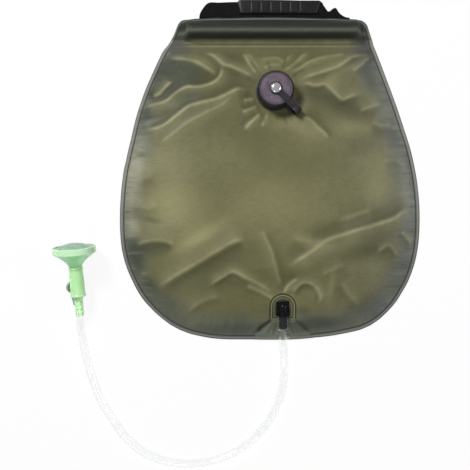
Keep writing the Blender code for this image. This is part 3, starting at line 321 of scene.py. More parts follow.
# Shifts of the full bag's edge in millimetres: along X by the height on the bag, on its left
# and on its right side, and along Y by the place along the bottom
LEFT_EDGE = [(-190, 0), (-184, 0.2), (-166, 2.0), (-147, 3.4), (-120, 2.4), (-100, 1.6),
             (-60, 1.4), (-30, 1.5), (12, 1.1), (26, 1.8), (55, 1.9), (69, 1.3), (84, 0.5),
             (98, 0), (126, -0.5), (150, 0)]
RIGHT_EDGE = [(-190, 0), (-174, 0.4), (-160, -0.9), (-130, -1.4), (-60, -0.8), (0, -1.1),
              (26, -1.7), (41, -2.1), (55, -3.0), (69, -3.8), (84, -4.2), (112, -4.3),
              (127, -4.1), (141, -3.7), (155, -2.9), (170, -1.8), (184, -0.5), (195, 0)]
BOTTOM_EDGE = [(-180, 0), (-171, 0.3), (-157, -1.6), (-142, -4.0), (-128, -4.9), (-114, -5.0),
               (-99, -4.3), (-85, -3.8), (-71, -2.9), (-56, -1.7), (-42, -0.7), (-25, 0),
               (65, 0), (86, -1.1), (101, -2.0), (115, -3.4), (129, -5.4), (144, -6.3),
               (158, -5.4), (172, -3.0), (187, -0.3), (200, 0)]

# Painted shade along sharp folds: points along each in millimetres, its width, and how dark it is
FOLD_SHADE_LINES = [
    ([(3, -200), (-5, -206.5), (-13, -213.5), (-19.5, -221)], 2.4, 1.3),
    ([(35.5, -201), (44, -209), (56, -221)], 2.2, 1.0),
    ([(14.4, -202), (15.4, -224)], 1.9, 1.0), ([(7, -203), (-5, -222)], 1.7, 0.5),
    ([(10.5, -203), (4, -223)], 1.7, 0.8), ([(27, -203), (35, -223)], 1.8, 1.0),
    ([(30, -203), (42, -222)], 1.8, 0.8), ([(33, -203), (49, -221)], 1.8, 0.8),
    ([(-188, 95), (-168, 99)], 2.0, 0.4), ([(-186, 84), (-166, 87)], 2.0, 0.4),
    ([(147, 182), (128, 173), (112, 168)], 2.1, 0.5), ([(152, 172), (134, 162)], 1.9, 0.5),
    ([(-6, 84), (-9, 74)], 1.9, 0.35), ([(20, 84), (24, 72)], 1.9, 0.35),
    ([(-20, 134), (-36, 142)], 1.9, 0.4), ([(36, 112), (50, 108)], 1.9, 0.4),
    ([(30, 142), (52, 156)], 1.9, 0.45), ([(0, 152), (-4, 166)], 1.9, 0.4),
    ([(17, 152), (24, 172)], 1.9, 0.45), ([(-16, 147), (-29, 168)], 1.9, 0.5),
]


def smooth_line(stops, parts):
    """Points on a smooth curve through the stops, with even parts between each two."""
    stops = [Vector(p) for p in stops]
    points = []
    for i in range(len(stops) - 1):
        a, b = stops[i], stops[i + 1]
        before = stops[i - 1] if i else a * 2 - b
        after = stops[i + 2] if i + 2 < len(stops) else b * 2 - a
        leave = (b - before) / 2
        arrive = (after - a) / 2
        for j in range(parts):
            t = j / parts
            points.append(a * (2 * t ** 3 - 3 * t ** 2 + 1) + leave * (t ** 3 - 2 * t ** 2 + t)
                          + b * (3 * t ** 2 - 2 * t ** 3) + arrive * (t ** 3 - t ** 2))
    return points + [stops[-1]]


def ease(value):
    """0 up to 0 and 1 from 1 on, with a smooth step between."""
    t = np.clip(value, 0.0, 1.0)
    return t * t * (3 - 2 * t)


def bell(value):
    """1 at 0, falling softly to both sides."""
    return np.exp(-value ** 2)


def belly_bottom(x):
    """Level of the bag's rounded bottom edge at x."""
    share = np.minimum(np.abs(x) / (BAG_WIDTH / 2), 1.0)
    return BELLY_Y - BELLY_HEIGHT * (1 - share ** BELLY_POWER) ** (1 / BELLY_POWER)


def half_width(y):
    """Half the bag's width at height y, from the belly's corner to the top of the sleeve."""
    y = float(y)
    if y <= BELLY_Y:
        share = (BELLY_Y - y) / BELLY_HEIGHT
        return BAG_WIDTH / 2 * (1 - share ** BELLY_POWER) ** (1 / BELLY_POWER)
    if y <= SHOULDER_Y:
        share = (y - BELLY_Y) / (SHOULDER_Y - BELLY_Y)
        return BAG_WIDTH / 2 - (BAG_WIDTH - SHOULDER_WIDTH) / 2 * share ** SHOULDER_POWER
    share = (y - SHOULDER_Y) / SLEEVE_DEPTH
    half = SHOULDER_WIDTH / 2 + (SLEEVE_TOP_WIDTH - SHOULDER_WIDTH) / 2 * share
    above = max(y - (TOP_Y - CORNER_RADIUS), 0.0)
    return half - CORNER_RADIUS + math.sqrt(max(CORNER_RADIUS ** 2 - above ** 2, 0.0))


def top_edge(x):
    """Level of the bag's top edge at x."""
    return TOP_Y - TOP_BOW * (x / half_width(TOP_Y)) ** 2


def graded(low, high, step, fine, band):
    """Places from low to high, a fine step apart within the band at each end."""
    places = list(np.arange(low, low + band, fine))
    middle = max(1, round((high - low - 2 * band) / step))
    places += list(np.linspace(low + band, high - band, middle + 1))
    places += list(high - np.arange(0, band, fine)[::-1])
    return np.array(sorted(set(np.round(places, 6))))


def bag_rows(step):
    """Rows of X and Y over a panel, from the rounded bottom edge to the top one."""
    share_step = step / (BAG_WIDTH / 2)
    shares = graded(-1.0, 1.0, share_step, 0.5 * share_step, 5 * share_step)
    rows = []
    for y in graded(BOTTOM_Y, SHOULDER_Y, step, step / 2, step * 5):
        up = (y - BOTTOM_Y) / (SHOULDER_Y - BOTTOM_Y)
        side_y = CORNER_Y + (SHOULDER_Y - CORNER_Y) * up
        drop = belly_bottom(shares * CORNER_X) - CORNER_Y
        rows.append(np.stack([shares * half_width(side_y), side_y + (1 - up) * drop], axis=1))
    for y in graded(SHOULDER_Y, TOP_Y, step * 0.6, step / 4, step)[1:]:
        up = (y - SHOULDER_Y) / SLEEVE_DEPTH
        rows.append(np.stack([shares * half_width(y), y - TOP_BOW * up * shares ** 2], axis=1))
    return np.array(rows)


def from_lines(x, y, lines):
    """Nearest distance, side and place along a broken line, for each point."""
    best = np.full(x.shape, 1.0)
    side = np.zeros(x.shape)
    place = np.zeros(x.shape)
    count = len(lines) - 1
    for i in range(count):
        ax, ay = lines[i][0], lines[i][1]
        dx, dy = lines[i + 1][0] - ax, lines[i + 1][1] - ay
        length = max(dx * dx + dy * dy, 1e-12)
        t = np.clip(((x - ax) * dx + (y - ay) * dy) / length, 0, 1)
        away = np.hypot(x - ax - t * dx, y - ay - t * dy)
        nearer = away < best
        best = np.where(nearer, away, best)
        side = np.where(nearer, np.sign(dx * (y - ay) - dy * (x - ax)), side)
        place = np.where(nearer, (i + t) / count, place)
    return best, side, place


def chamber_outline():
    """The edge of the water chamber, below the sleeve, as a closed line."""
    steps = 60
    right = [(CORNER_X * i / steps, float(belly_bottom(CORNER_X * i / steps)))
             for i in range(steps)]
    for i in range(steps + 1):
        y = CORNER_Y + (SHOULDER_Y - CORNER_Y) * i / steps
        right.append((half_width(y), y))
    left = [(-x, y) for x, y in reversed(right)]
    return right + left + [right[0]]


def linear(value):
    """A shader's number for one from 0 to 255 that a screen shows."""
    value = value / 255
    return value / 12.92 if value <= 0.04045 else ((value + 0.055) / 1.055) ** 2.4


class Graph:
    """Short ways to add nodes and links to one node tree."""

    def __init__(self, tree):
        self.tree = tree

    def add(self, kind, label="", **values):
        """A new node with its plain properties set by name."""
        node = self.tree.nodes.new(kind)
        node.label = label
        for name, value in values.items():
            setattr(node, name, value)
        return node

    def plug(self, value, socket):
        """Links a socket to another one, or sets it to a plain value.

        A tuple of three numbers is a colour as a screen shows it, from 0 to 255."""
        if isinstance(value, bpy.types.NodeSocket):
            self.tree.links.new(value, socket)
        elif hasattr(socket, "default_value"):
            if socket.type == "RGBA" and len(value) == 3:
                value = (*(map(linear, value) if isinstance(value, tuple) else value), 1.0)
            socket.default_value = value

    def feed(self, node, **values):
        """The node with values plugged into its inputs by name, where _ stands for a space."""
        for name, value in values.items():
            self.plug(value, node.inputs[name.replace("_", " ")])
        return node

    def math(self, operation, *values):
        """One Math node over up to three values."""
        node = self.add("ShaderNodeMath", operation=operation)
        for socket, value in zip(node.inputs, values):
            self.plug(value, socket)
        return node.outputs[0]

    def times(self, first, *others):
        """The product of the values."""
        for value in others:
            first = self.math("MULTIPLY", first, value)
        return first

    def plus(self, a, b):
        """The sum of two values."""
        return self.math("ADD", a, b)

    def minus(self, a, b):
        """One value less another."""
        return self.math("SUBTRACT", a, b)

    def scaled(self, value, scale, shift):
        """The value times a scale, with a shift added."""
        return self.math("MULTIPLY_ADD", value, scale, shift)

    def most(self, a, b):
        """The greater of two values."""
        return self.math("MAXIMUM", a, b)

    def away(self, value, target):
        """How far the value lies from the target."""
        return self.math("ABSOLUTE", self.minus(value, target))

    def rise(self, value, low, high, levels=(0, 1)):
        """0 up to low and 1 from high on, with a soft run between them."""
        node = self.add("ShaderNodeValToRGB")
        node.color_ramp.interpolation = "EASE"
        for element, place, level in zip(node.color_ramp.elements, (low, high), levels):
            element.position = place
            element.color = (level, level, level, 1)
        self.plug(value, node.inputs[0])
        return node.outputs[0]

    def fall(self, value, low, high):
        """1 up to low and 0 from high on, with a soft run between them."""
        return self.rise(value, low, high, (1, 0))

    def mix(self, factor, a, b):
        """Two colours mixed by a factor."""
        node = self.add("ShaderNodeMix", data_type="RGBA")
        for value, socket in ((factor, node.inputs["Factor"]), (a, node.inputs[6]),
                              (b, node.inputs[7])):
            self.plug(value, socket)
        return node.outputs[2]

    def lay(self, tone, colour, mask, share=None):
        """A colour laid over the tone, as far as the mask and its share say."""
        return self.mix(mask if share is None else self.times(mask, share), tone, colour)

    def noise(self, vector, scale, detail=2.0, rough=0.5, distortion=0.0):
        """A noise texture's value."""
        return self.feed(self.add("ShaderNodeTexNoise"), Vector=vector, Scale=scale,
                         Detail=detail, Roughness=rough, Distortion=distortion).outputs["Fac"]

    def place(self):
        """The place on the piece, in the shared frame."""
        return self.add("ShaderNodeTexCoord").outputs["Object"]

    def split(self, vector):
        """The X, Y and Z of a vector."""
        return self.feed(self.add("ShaderNodeSeparateXYZ"), Vector=vector).outputs

    def stretched(self, vector, scale, turn=(0, 0, 0), shift=(0, 0, 0)):
        """The vector scaled, turned and shifted."""
        return self.feed(self.add("ShaderNodeMapping"), Vector=vector, Scale=scale,
                         Rotation=turn, Location=shift).outputs[0]

    def attribute(self, name):
        """A value that is stored at the mesh's points."""
        return self.add("ShaderNodeAttribute", attribute_name=name).outputs["Fac"]

    def shared(self, name, **values):
        """The outputs of a shared group, with its inputs set by name."""
        makers = {"weave": weave_group, "mottle": mottle_group, "moulded": moulded_group}
        if name not in GROUPS:
            GROUPS[name] = makers[name]()
        tree = GROUPS[name]
        node = self.add("ShaderNodeGroup", label=tree.name)
        node.node_tree = tree
        return self.feed(node, **values).outputs

    def bump(self, height, distance, normal=None, strength=1.0):
        """The normal bent by a height, on top of another normal where one is given."""
        node = self.feed(self.add("ShaderNodeBump"), Height=height, Distance=distance,
                         Strength=strength)
        if normal is not None:
            self.plug(normal, node.inputs["Normal"])
        return node.outputs[0]

    def surface(self, share, first, second):
        """Ends the tree in two shaders mixed by a share."""
        node = self.add("ShaderNodeMixShader")
        for value, socket in zip((share, first, second), node.inputs):
            self.plug(value, socket)
        out = next(n for n in self.tree.nodes if n.type.startswith("OUTPUT"))
        self.plug(node.outputs[0], out.inputs["Surface"])


# The shared shader groups that are made already, by name
GROUPS = {}


def new_tree(kind, name, inputs, outputs):
    """A node tree with its graph, what its inputs give, and its last node.

    Each input is a (name, kind, default), and each output a (name, kind)."""
    tree = bpy.data.node_groups.new(name, kind)
    for label, sort, default in inputs:
        socket = tree.interface.new_socket(label, in_out="INPUT", socket_type="NodeSocket" + sort)
        if default is not None:
            socket.default_value = default
    for label, sort in outputs:
        tree.interface.new_socket(label, in_out="OUTPUT", socket_type="NodeSocket" + sort)
    graph = Graph(tree)
    return tree, graph, graph.add("NodeGroupInput").outputs, graph.add("NodeGroupOutput")


def weave_group():
    """Plain weave from two crossed sets of threads, as a height and a thread mask."""
    tree, g, given, out = new_tree(
        "ShaderNodeTree", "plain weave",
        [("Vector", "Vector", None), ("Pitch", "Float", 0.001), ("Unevenness", "Float", 0.2)],
        [("Height", "Float"), ("Threads", "Float")])
    waves = [g.math("SINE", g.times(g.math("DIVIDE", axis, given["Pitch"]), math.pi))
             for axis in g.split(given["Vector"])[:2]]
    crossed = g.times(*waves)
    uneven = g.times(g.noise(given["Vector"], 700, 2), given["Unevenness"])
    g.feed(out, Height=g.plus(g.scaled(crossed, 0.5, 0.5), uneven),
           Threads=g.math("ABSOLUTE", crossed))
    return tree


def mottle_group():
    """Soft patches of two sizes, from 0 to 1."""
    tree, g, given, out = new_tree(
        "ShaderNodeTree", "mottle", [("Vector", "Vector", None), ("Scale", "Float", 30.0)],
        [("Patches", "Float"), ("Specks", "Float")])
    wide = g.noise(given["Vector"], given["Scale"], 4)
    fine = g.noise(given["Vector"], g.times(given["Scale"], 9.0), 3)
    g.feed(out, Patches=g.rise(wide, 0.3, 0.7), Specks=g.rise(fine, 0.42, 0.66))
    return tree


def moulded_group():
    """Fine grain of a moulding, with scuffs that are rougher and paler."""
    tree, g, given, out = new_tree(
        "ShaderNodeTree", "moulded grain",
        [("Vector", "Vector", None), ("Colour", "Color", (0.5, 0.5, 0.5, 1)),
         ("Scuff colour", "Color", (0.6, 0.6, 0.6, 1)), ("Scuffs", "Float", 0.3),
         ("Roughness", "Float", 0.4)],
        [("Colour", "Color"), ("Roughness", "Float"), ("Height", "Float")])
    vector = given["Vector"]
    streaks = g.noise(g.stretched(vector, (260, 1500, 700), (0.3, 0.2, 0.6)), 1.0, 3, 0.6)
    scuff = g.times(g.rise(streaks, 0.56, 0.74), given["Scuffs"])
    patches = g.noise(vector, 60, 3)
    shade = g.lay(given["Colour"], given["Scuff colour"], patches, 0.25)
    rough = g.scaled(patches, 0.14, given["Roughness"])
    g.feed(out, Colour=g.lay(shade, given["Scuff colour"], scuff),
           Roughness=g.scaled(scuff, 0.25, rough),
           Height=g.minus(g.times(g.noise(vector, 2600, 2), 0.4), scuff))
    return tree


def new_material(name, **values):
    """An empty material with its Principled shader, whose plain values are set by name."""
    mat = bpy.data.materials.new(name)
    mat.use_nodes = True
    graph = Graph(mat.node_tree)
    return mat, graph, graph.feed(mat.node_tree.nodes["Principled BSDF"], **values)


def moulded(name, colour, scuff_colour, scuffs=0.3, rough=0.4, depth=0.00004, **values):
    """A moulded plastic or rubber with grain and scuffs."""
    mat, g, shader = new_material(name, **values)
    made = g.shared("moulded", Vector=g.place(), Colour=colour, Scuff_colour=scuff_colour,
                    Scuffs=scuffs, Roughness=rough)
    g.feed(shader, Base_Color=made["Colour"], Roughness=made["Roughness"],
           Normal=g.bump(made["Height"], depth))
    return mat


def olive_sheet(look):
    """Coated cloth: olive in the middle and greyer at the weld by painted sheen and shade, with
    painted light and shade over its creases and pocket, and its lines and weave.
    """
    mat, g, shader = new_material("olive coated cloth", Specular_IOR_Level=0.22,
                                  Coat_Roughness=0.36, Sheen_Weight=0.02,
                                  Sheen_Roughness=0.4)
    place = g.place()
    edge, outlet, dark = (g.attribute(name) for name in ("edge", "outlet", "dark"))
    across, level, _ = g.split(place)
    flat = g.stretched(place, (1, 1, 0))
    mottle = g.shared("mottle", Vector=flat, Scale=11.0)
    # Greyer and darker towards the weld and blue-grey on the right: painted sheen and painted
    # shade of the sloping border
    middle = g.rise(g.scaled(g.noise(flat, 16, 3), 0.034, edge), 0.030, 0.066)
    tone = g.mix(middle, look.border_sheen_and_shade_colour, look.colour)
    cool_sheen = g.times(g.rise(g.scaled(across, 4.0, 0.1), 0.2, 0.8), g.scaled(middle, -0.60, 0.84))
    tone = g.lay(tone, g.mix(middle, (85, 91, 95), (120, 120, 114)), cool_sheen)
    tone = g.lay(tone, (130, 128, 90), mottle["Patches"], 0.34)
    tone = g.lay(tone, (84, 86, 62), mottle["Specks"], 0.22)
    tone = g.lay(tone, (84, 84, 58), g.rise(g.noise(flat, 430, 2), 0.42, 0.62), 0.26)
    # Painted shade in the hollows beside the creases and the outlet's tent, and over the pocket
    tone = g.lay(tone, (64, 64, 40), g.attribute("hollow"), 0.60)
    # Painted light: the paler patches of the list of light and shade
    tone = g.lay(tone, g.mix(middle, (154, 152, 134), (150, 146, 106)), g.attribute("pale"), 0.68)
    # Painted shade: the darker patches of the list of light and shade, green near the left weld,
    # greyer on the right and olive inside
    right = g.rise(g.scaled(across, 4.0, 0.3), 0.2, 0.9)
    shadow = g.mix(right, (58, 64, 54), (66, 69, 64))
    inland = g.times(g.rise(g.scaled(across, 5.0, 1.0), 0.42, 0.58), middle)
    tone = g.lay(tone, g.lay(shadow, (64, 62, 36), inland, 0.8), dark, 0.80)
    # Short puckers run in from the weld at the sides, drawn as streaks of painted shade and
    # painted highlight
    pucker = g.noise(g.stretched(flat, (20, 150, 1), shift=(0.3, 0.7, 0)), 1.0, 3, 0.6)
    near = g.times(g.fall(edge, 0.010, 0.042), g.rise(g.math("ABSOLUTE", across), 0.13, 0.18))
    tone = g.lay(tone, (60, 66, 58), g.times(g.rise(pucker, 0.52, 0.64), near), 0.36)
    tone = g.lay(tone, (146, 146, 130), g.times(g.fall(pucker, 0.36, 0.46), near), 0.18)
    # Pale crest lines: partly wear of the coating, partly painted highlight, with painted light on
    # each crest's lit side
    uneven = g.scaled(g.noise(flat, 48, 2), 1.1, 0.22)
    tone = g.lay(tone, (158, 154, 118), g.times(g.attribute("worn"), uneven), 0.80)
    # The pocket of the rod: painted shade on its slopes, darkest on the upper one, a painted
    # highlight along its crown, greyer cloth past the rod's ends, and its pale weld below
    sleeve = g.rise(g.math("DIVIDE", g.minus(level, POCKET_FOOT), 0.010), 0.08, 0.42)
    beyond = g.rise(g.times(g.away(across, ROD_SHIFT), 5.0), 0.52, 0.66)
    above = g.times(g.rise(g.times(level, 4.0), 0.62, 0.80), 0.6)
    tone = g.lay(tone, (62, 61, 64), beyond, above)
    tone = g.lay(tone, (38, 43, 37), sleeve, g.scaled(beyond, -0.42, 0.94))
    upper = g.rise(g.math("DIVIDE", g.minus(level, ROD_Y), 0.010), 0.1, 0.5)
    tone = g.lay(tone, (16, 20, 16), upper, 0.62)
    crown_highlight = g.fall(g.away(level, POCKET_CROWN), 0.0004, 0.0026)
    tone = g.lay(tone, (110, 114, 96), crown_highlight, 0.42)
    # The weld's border, with painted light: paler up the bag where it faces the light, darker at
    # the bottom and over the pocket
    border = g.fall(edge, 0.0046, 0.0062)
    rim = g.mix(g.rise(g.plus(level, 0.35), 0.20, 0.35), (84, 86, 84), (118, 119, 114))
    tone = g.lay(tone, g.lay(rim, (62, 65, 61), sleeve), border, 0.72)
    # The weld's dark line, the sheet's cut edge, and the two pale lines under the pocket
    tone = g.lay(tone, (38, 40, 36), g.math("COMPARE", edge, 0.0056, 0.0008), 0.85)
    tone = g.lay(tone, (168, 168, 160), g.math("COMPARE", edge, 0.0024, 0.0008), 0.28)
    tone = g.lay(tone, (60, 60, 58), g.math("LESS_THAN", edge, 0.0008), 0.5)
    broken = g.scaled(g.noise(flat, 70, 2), 0.6, 0.2)
    inside = g.minus(g.minus(1.0, border), beyond)
    for weld_level, half, strength in POCKET_WELDS:
        line = g.fall(g.math("DIVIDE", g.away(level, weld_level), half), 0.2, 1.0)
        tone = g.lay(tone, (150, 150, 118), g.times(line, inside, strength), broken)
    # The outlet patch: a double line round the window and the pale panel below it
    tone = g.lay(tone, (106, 113, 99), g.rise(g.attribute("patch"), 0.5, 1.0), 0.60)
    ends = g.rise(g.math("DIVIDE", g.plus(level, 0.2012), 0.01), 0.0, 0.35)
    weld = g.times(g.plus(g.math("COMPARE", outlet, 0.0, 0.0010),
                          g.math("COMPARE", outlet, -0.0036, 0.0006)), ends)
    ridge = g.times(g.math("COMPARE", outlet, -0.0018, 0.0008), ends)
    tone = g.lay(tone, (140, 140, 112), ridge, 0.4)
    # Painted shade along the sharp folds
    tone = g.lay(tone, (28, 33, 26), g.attribute("fold"), 0.85)
    inner = g.times(g.rise(g.times(outlet, -1.0), 0.0040, 0.0046), ends)
    tone = g.lay(tone, (52, 52, 40), inner, 0.80)
    tone = g.lay(tone, (26, 27, 18), weld, 0.85)
    rough = g.scaled(sleeve, 0.20, g.scaled(mottle["Patches"], 0.08, 0.46))
    rough = g.scaled(border, 0.1, g.scaled(dark, 0.30, rough))
    covered = g.most(g.most(sleeve, border), dark)
    rip = g.shared("weave", Vector=place, Pitch=0.0042, Unevenness=0.2)
    woven = g.bump(g.fall(rip["Threads"], 0.0, 0.12), 0.00006, cloth_weave(g, place))
    small = g.noise(g.stretched(place, (1.0, 1.35, 0.6), (0, 0, 0.5)), 85, 4, 0.55, 0.6)
    woven = g.bump(small, 0.0016, woven, 0.6)
    g.feed(shader, Base_Color=tone, Roughness=rough, Coat_Weight=g.scaled(covered, -0.10, 0.12),
           Normal=g.bump(g.minus(1.0, weld), 0.0004, woven))
    return mat


def cloth_weave(g, place):
    """The normal of the sheets' plain weave."""
    cloth = g.shared("weave", Vector=place, Pitch=0.00085, Unevenness=0.5)
    return g.bump(cloth["Height"], 0.00008)


def black_sheet(look):
    """The back sheet: black coated cloth that dulls with dust."""
    mat, g, shader = new_material("black coated cloth", Coat_Weight=0.15, Coat_Roughness=0.4)
    place = g.place()
    mottle = g.shared("mottle", Vector=place, Scale=16.0)
    tone = g.lay(look.back_colour, (44, 44, 43), mottle["Patches"], 0.3)
    weld = g.math("COMPARE", g.attribute("edge"), 0.0066, 0.0008)
    g.feed(shader, Base_Color=g.lay(tone, (70, 70, 70), weld, 0.5),
           Roughness=g.scaled(mottle["Patches"], 0.15, 0.5), Normal=cloth_weave(g, place))
    return mat


def mesh_piece(name, points, faces, materials=()):
    """A named object at the origin from points and faces, with smooth shading."""
    mesh = bpy.data.meshes.new(name)
    mesh.from_pydata([tuple(p) for p in points], [], faces)
    mesh.update()
    mesh.shade_smooth()
    obj = bpy.data.objects.new(name, mesh)
    for mat in materials:
        mesh.materials.append(mat)
    bpy.context.scene.collection.objects.link(obj)
    return obj


def bake(obj):
    """Applies the object's modifiers, and puts its place into its mesh."""
    deps = bpy.context.evaluated_depsgraph_get()
    deps.update()
    mesh = bpy.data.meshes.new_from_object(obj.evaluated_get(deps))
    mesh.transform(obj.matrix_world)
    obj.modifiers.clear()
    old = obj.data
    obj.data = mesh
    mesh.name = old.name
    obj.matrix_world = Matrix.Identity(4)
    bpy.data.meshes.remove(old)
    return obj


def smooth_but_sharp(obj, angle):
    """Shades the object smoothly but for edges sharper than the angle in degrees."""
    obj.data.shade_smooth()
    obj.data.set_sharp_from_angle(angle=math.radians(angle))
    return obj


def store(obj, name, values):
    """Keeps one value for each point of the mesh under a name."""
    layer = obj.data.attributes.new(name, "FLOAT", "POINT")
    layer.data.foreach_set("value", np.asarray(values, dtype=np.float32))


def keep(obj, body, slot, *nodes):
    """Rides a finished piece on a body, in the place of the CAD nodes named."""
    if nodes:
        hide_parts(*nodes)
    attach(obj, body)
    return obj


def zone(x, y, centre, half, run):
    """1 inside a square about the centre, falling to 0 over the run outside it."""
    out_x = np.maximum(np.abs(x - centre[0]) - half, 0)
    out_y = np.maximum(np.abs(y - centre[1]) - half, 0)
    return 1 - ease(np.hypot(out_x, out_y) / run)


def oval(x, y, centre_x, centre_y, reach_x, reach_y, turn):
    """Square of the distance from an oval's centre, 1 at its rim; millimetres and degrees."""
    angle = math.radians(turn)
    dx, dy = x - centre_x / 1000, y - centre_y / 1000
    u = (dx * math.cos(angle) + dy * math.sin(angle)) / (reach_x / 1000)
    v = (-dx * math.sin(angle) + dy * math.cos(angle)) / (reach_y / 1000)
    return u * u + v * v


def crease_heights(x, y, depth):
    """The creases, swells and dips drawn over the sheet, in metres, with two masks.

    The masks are the pale line along each crest, partly wear and partly painted highlight, with
    painted light on its lit side, and the painted shade in the hollow that lies beside it."""
    height, worn, hollow_shade = np.zeros(x.shape), np.zeros(x.shape), np.zeros(x.shape)
    for stops, crest, wide, hollow, turned_side in CREASES:
        line = smooth_line([(a / 1000, b / 1000, 0) for a, b in stops], 6)
        reach = wide * 0.010
        near = ((x > min(p.x for p in line) - reach) & (x < max(p.x for p in line) + reach)
                & (y > min(p.y for p in line) - reach) & (y < max(p.y for p in line) + reach))
        away, side, along = from_lines(x[near], y[near], line)
        fade = ease(along / 0.16) * ease((1 - along) / 0.16)
        width = wide / 1000
        radius = 0.0009
        ridge = 0.62 * np.exp(-(np.sqrt(away ** 2 + radius ** 2) - radius) / width)
        ridge = ridge + 0.55 * bell(away / (3.4 * width))
        beside = np.where(side == turned_side, 1.0, 0.0)
        dip = bell((away - 2.0 * width) / (1.4 * width)) * beside
        height[near] += (crest * ridge - hollow * dip) * fade / 1000
        # Painted light on the crest's lit side, and a pale crest line, partly wear and partly
        # painted highlight
        glow = 0.42 * bell(away / (2.4 * width)) * (1 - beside)
        mask = np.maximum(bell(away / (0.0020 + 0.14 * width)), glow) * fade
        worn[near] = np.maximum(worn[near], mask * min(1.0, crest / 2.4))
        # Painted shade in the hollow beside the crest, faint on its other side
        shade = (1 - bell(away / (0.7 * width))) * bell(away / (3.2 * width))
        shade = shade * np.where(beside > 0, 1.15, 0.25)
        hollow_shade[near] = np.maximum(hollow_shade[near], shade * fade * min(1.0, hollow / 1.6))
    for *place, rise in SWELLS:
        height += rise / 1000 * np.exp(-oval(x, y, *place))
    return height * depth, worn, hollow_shade


def light_and_shade_masks(x, y):
    """The cloth's painted light, painted shade and painted shade along sharp folds at each point,
    from 0 to 1.
    """
    tone, fold = np.zeros(x.shape), np.zeros(x.shape)
    for *place, amount in LIGHT_AND_SHADE_PATCHES:
        tone += amount * np.exp(-oval(x, y, *place) ** 1.2)
    for stops, wide, strength in FOLD_SHADE_LINES:
        line = smooth_line([(a / 1000, b / 1000, 0) for a, b in stops], 6)
        away, _, along = from_lines(x, y, line)
        fade = ease(along / 0.12) * ease((1 - along) / 0.25)
        fold = np.maximum(fold, strength * fade * bell(away / (wide / 1000)))
    return np.clip(tone, 0, 1), np.clip(-tone, 0, 1), fold


def gather(x, y):
    """Pulls the sheets in past the rod's left end, where the cloth is gathered."""
    above = y - GATHER_Y
    above = (np.sqrt(above ** 2 + 0.003 ** 2) + above) / 2
    share = 1 - GATHERED * (1 - np.exp(-above / 0.025))
    past = ROD_SHIFT - ROD_LENGTH / 2 - 0.001
    return np.where(x < past, past + (x - past) * share, x)


def settle(x, y, edge):
    """Moves the sheets' edge to where it lies on the full bag."""
    near = 1 - ease(edge / SETTLE_RUN)
    left, right = (np.interp(y * 1000, *np.array(line).T) for line in (LEFT_EDGE, RIGHT_EDGE))
    down = np.interp(x * 1000, *np.array(BOTTOM_EDGE).T) * ease((-0.120 - y) / 0.050)
    return x + np.where(x < 0, left, right) * near / 1000, y + down * near / 1000


def pleats(along, count, seed):
    """A wave of uneven pleats round a closed line, from -1 to 1."""
    rng = np.random.default_rng(seed)
    total = np.zeros(along.shape)
    for share in (1.0, 0.61, 0.37, 1.43):
        total += np.sin(math.tau * (round(count * share) * along + rng.random()))
    return total / 3


def tent_run(x, y):
    """How far below the outlet's plate a point is, and how far out from its tent of cloth."""
    down = np.clip((OUTLET_LOW - y) / TENT_RUN, 0, 1)
    return down, np.abs(x - OUTLET_X) - (0.0185 + 0.020 * down)


def front_top(x, y, edge, along, look):
    """Upper face of the front sheet over the water chamber, with its masks of crest lines, partly
    wear and partly painted highlight, and of painted shade.
    """
    inside = np.maximum(edge - SEAM, 0)
    height = LAID_Z + look.puff * np.sin(np.pi / 2 * np.minimum(inside / DOME_RUN, 1))
    near_weld = bell((inside - 0.004) / 0.0055) * ease(inside / 0.002)
    height = height + 0.00042 * near_weld * pleats(along, 118, 3)
    height = height + 0.0009 * bell((inside - 0.012) / 0.010) * pleats(along, 37, 8)

    # The flange under the neck holds the sheet flat, and short pleats run out from it
    from_neck = np.hypot(x - NECK[0], y - NECK[1])
    turn = np.arctan2(y - NECK[1], x - NECK[0]) / math.tau + 0.5
    flat = 1 - ease((from_neck - 0.0300) / 0.026)
    height = height + (NECK_LEVEL - height) * flat
    ring = bell((from_neck - 0.0375) / 0.0055)
    height = height + 0.0006 * ring * pleats(turn, 17, 5) * (from_neck > 0.0295)

    # So does the outlet's plate, with a tent of cloth from it down to the weld
    outlet = (OUTLET_X, OUTLET_MID)
    height = height + (OUTLET_LEVEL - height) * zone(x, y, outlet, 0.0190, 0.042)
    off_neck = ease((from_neck - FLAT_RADIUS) / 0.006)
    held = np.maximum(1 - off_neck, zone(x, y, outlet, 0.0180, 0.005))
    creases, worn, hollow_shade = crease_heights(x, y, look.crease_depth)
    height = height + creases * ease(inside / 0.020) * (1 - held)
    down, out = tent_run(x, y)
    tent = LAID_Z + (OUTLET_LEVEL - LAID_Z) * (1 - down ** 1.1)
    fan = np.arctan2(x - OUTLET_X, OUTLET_HIGH - y) * 11
    tent = tent + 0.0008 * np.sin(fan * 2.6) * np.sin(down * math.pi)
    below = (y < OUTLET_LOW) & (inside > 0)
    raised = height + (np.maximum(tent, height) - height) * (1 - ease(out / 0.004))
    height = np.where(below, raised, height)
    sides = bell((out - 0.0035) / 0.0022)
    height = np.where(below, height - 0.0030 * sides * np.sin(down * math.pi), height)
    marks = ease(inside / 0.006) * ease(outlet_distance(x, y) / 0.003) * off_neck
    # Painted shade beside the tent below the outlet, and rising towards the pocket
    hollow_shade = np.maximum(hollow_shade * marks, sides * below * ease(down / 0.2))
    hollow_shade = np.maximum(hollow_shade, ease((y - 0.158) / 0.022) * 0.62)
    return np.maximum(height, LAID_Z), worn * marks, hollow_shade


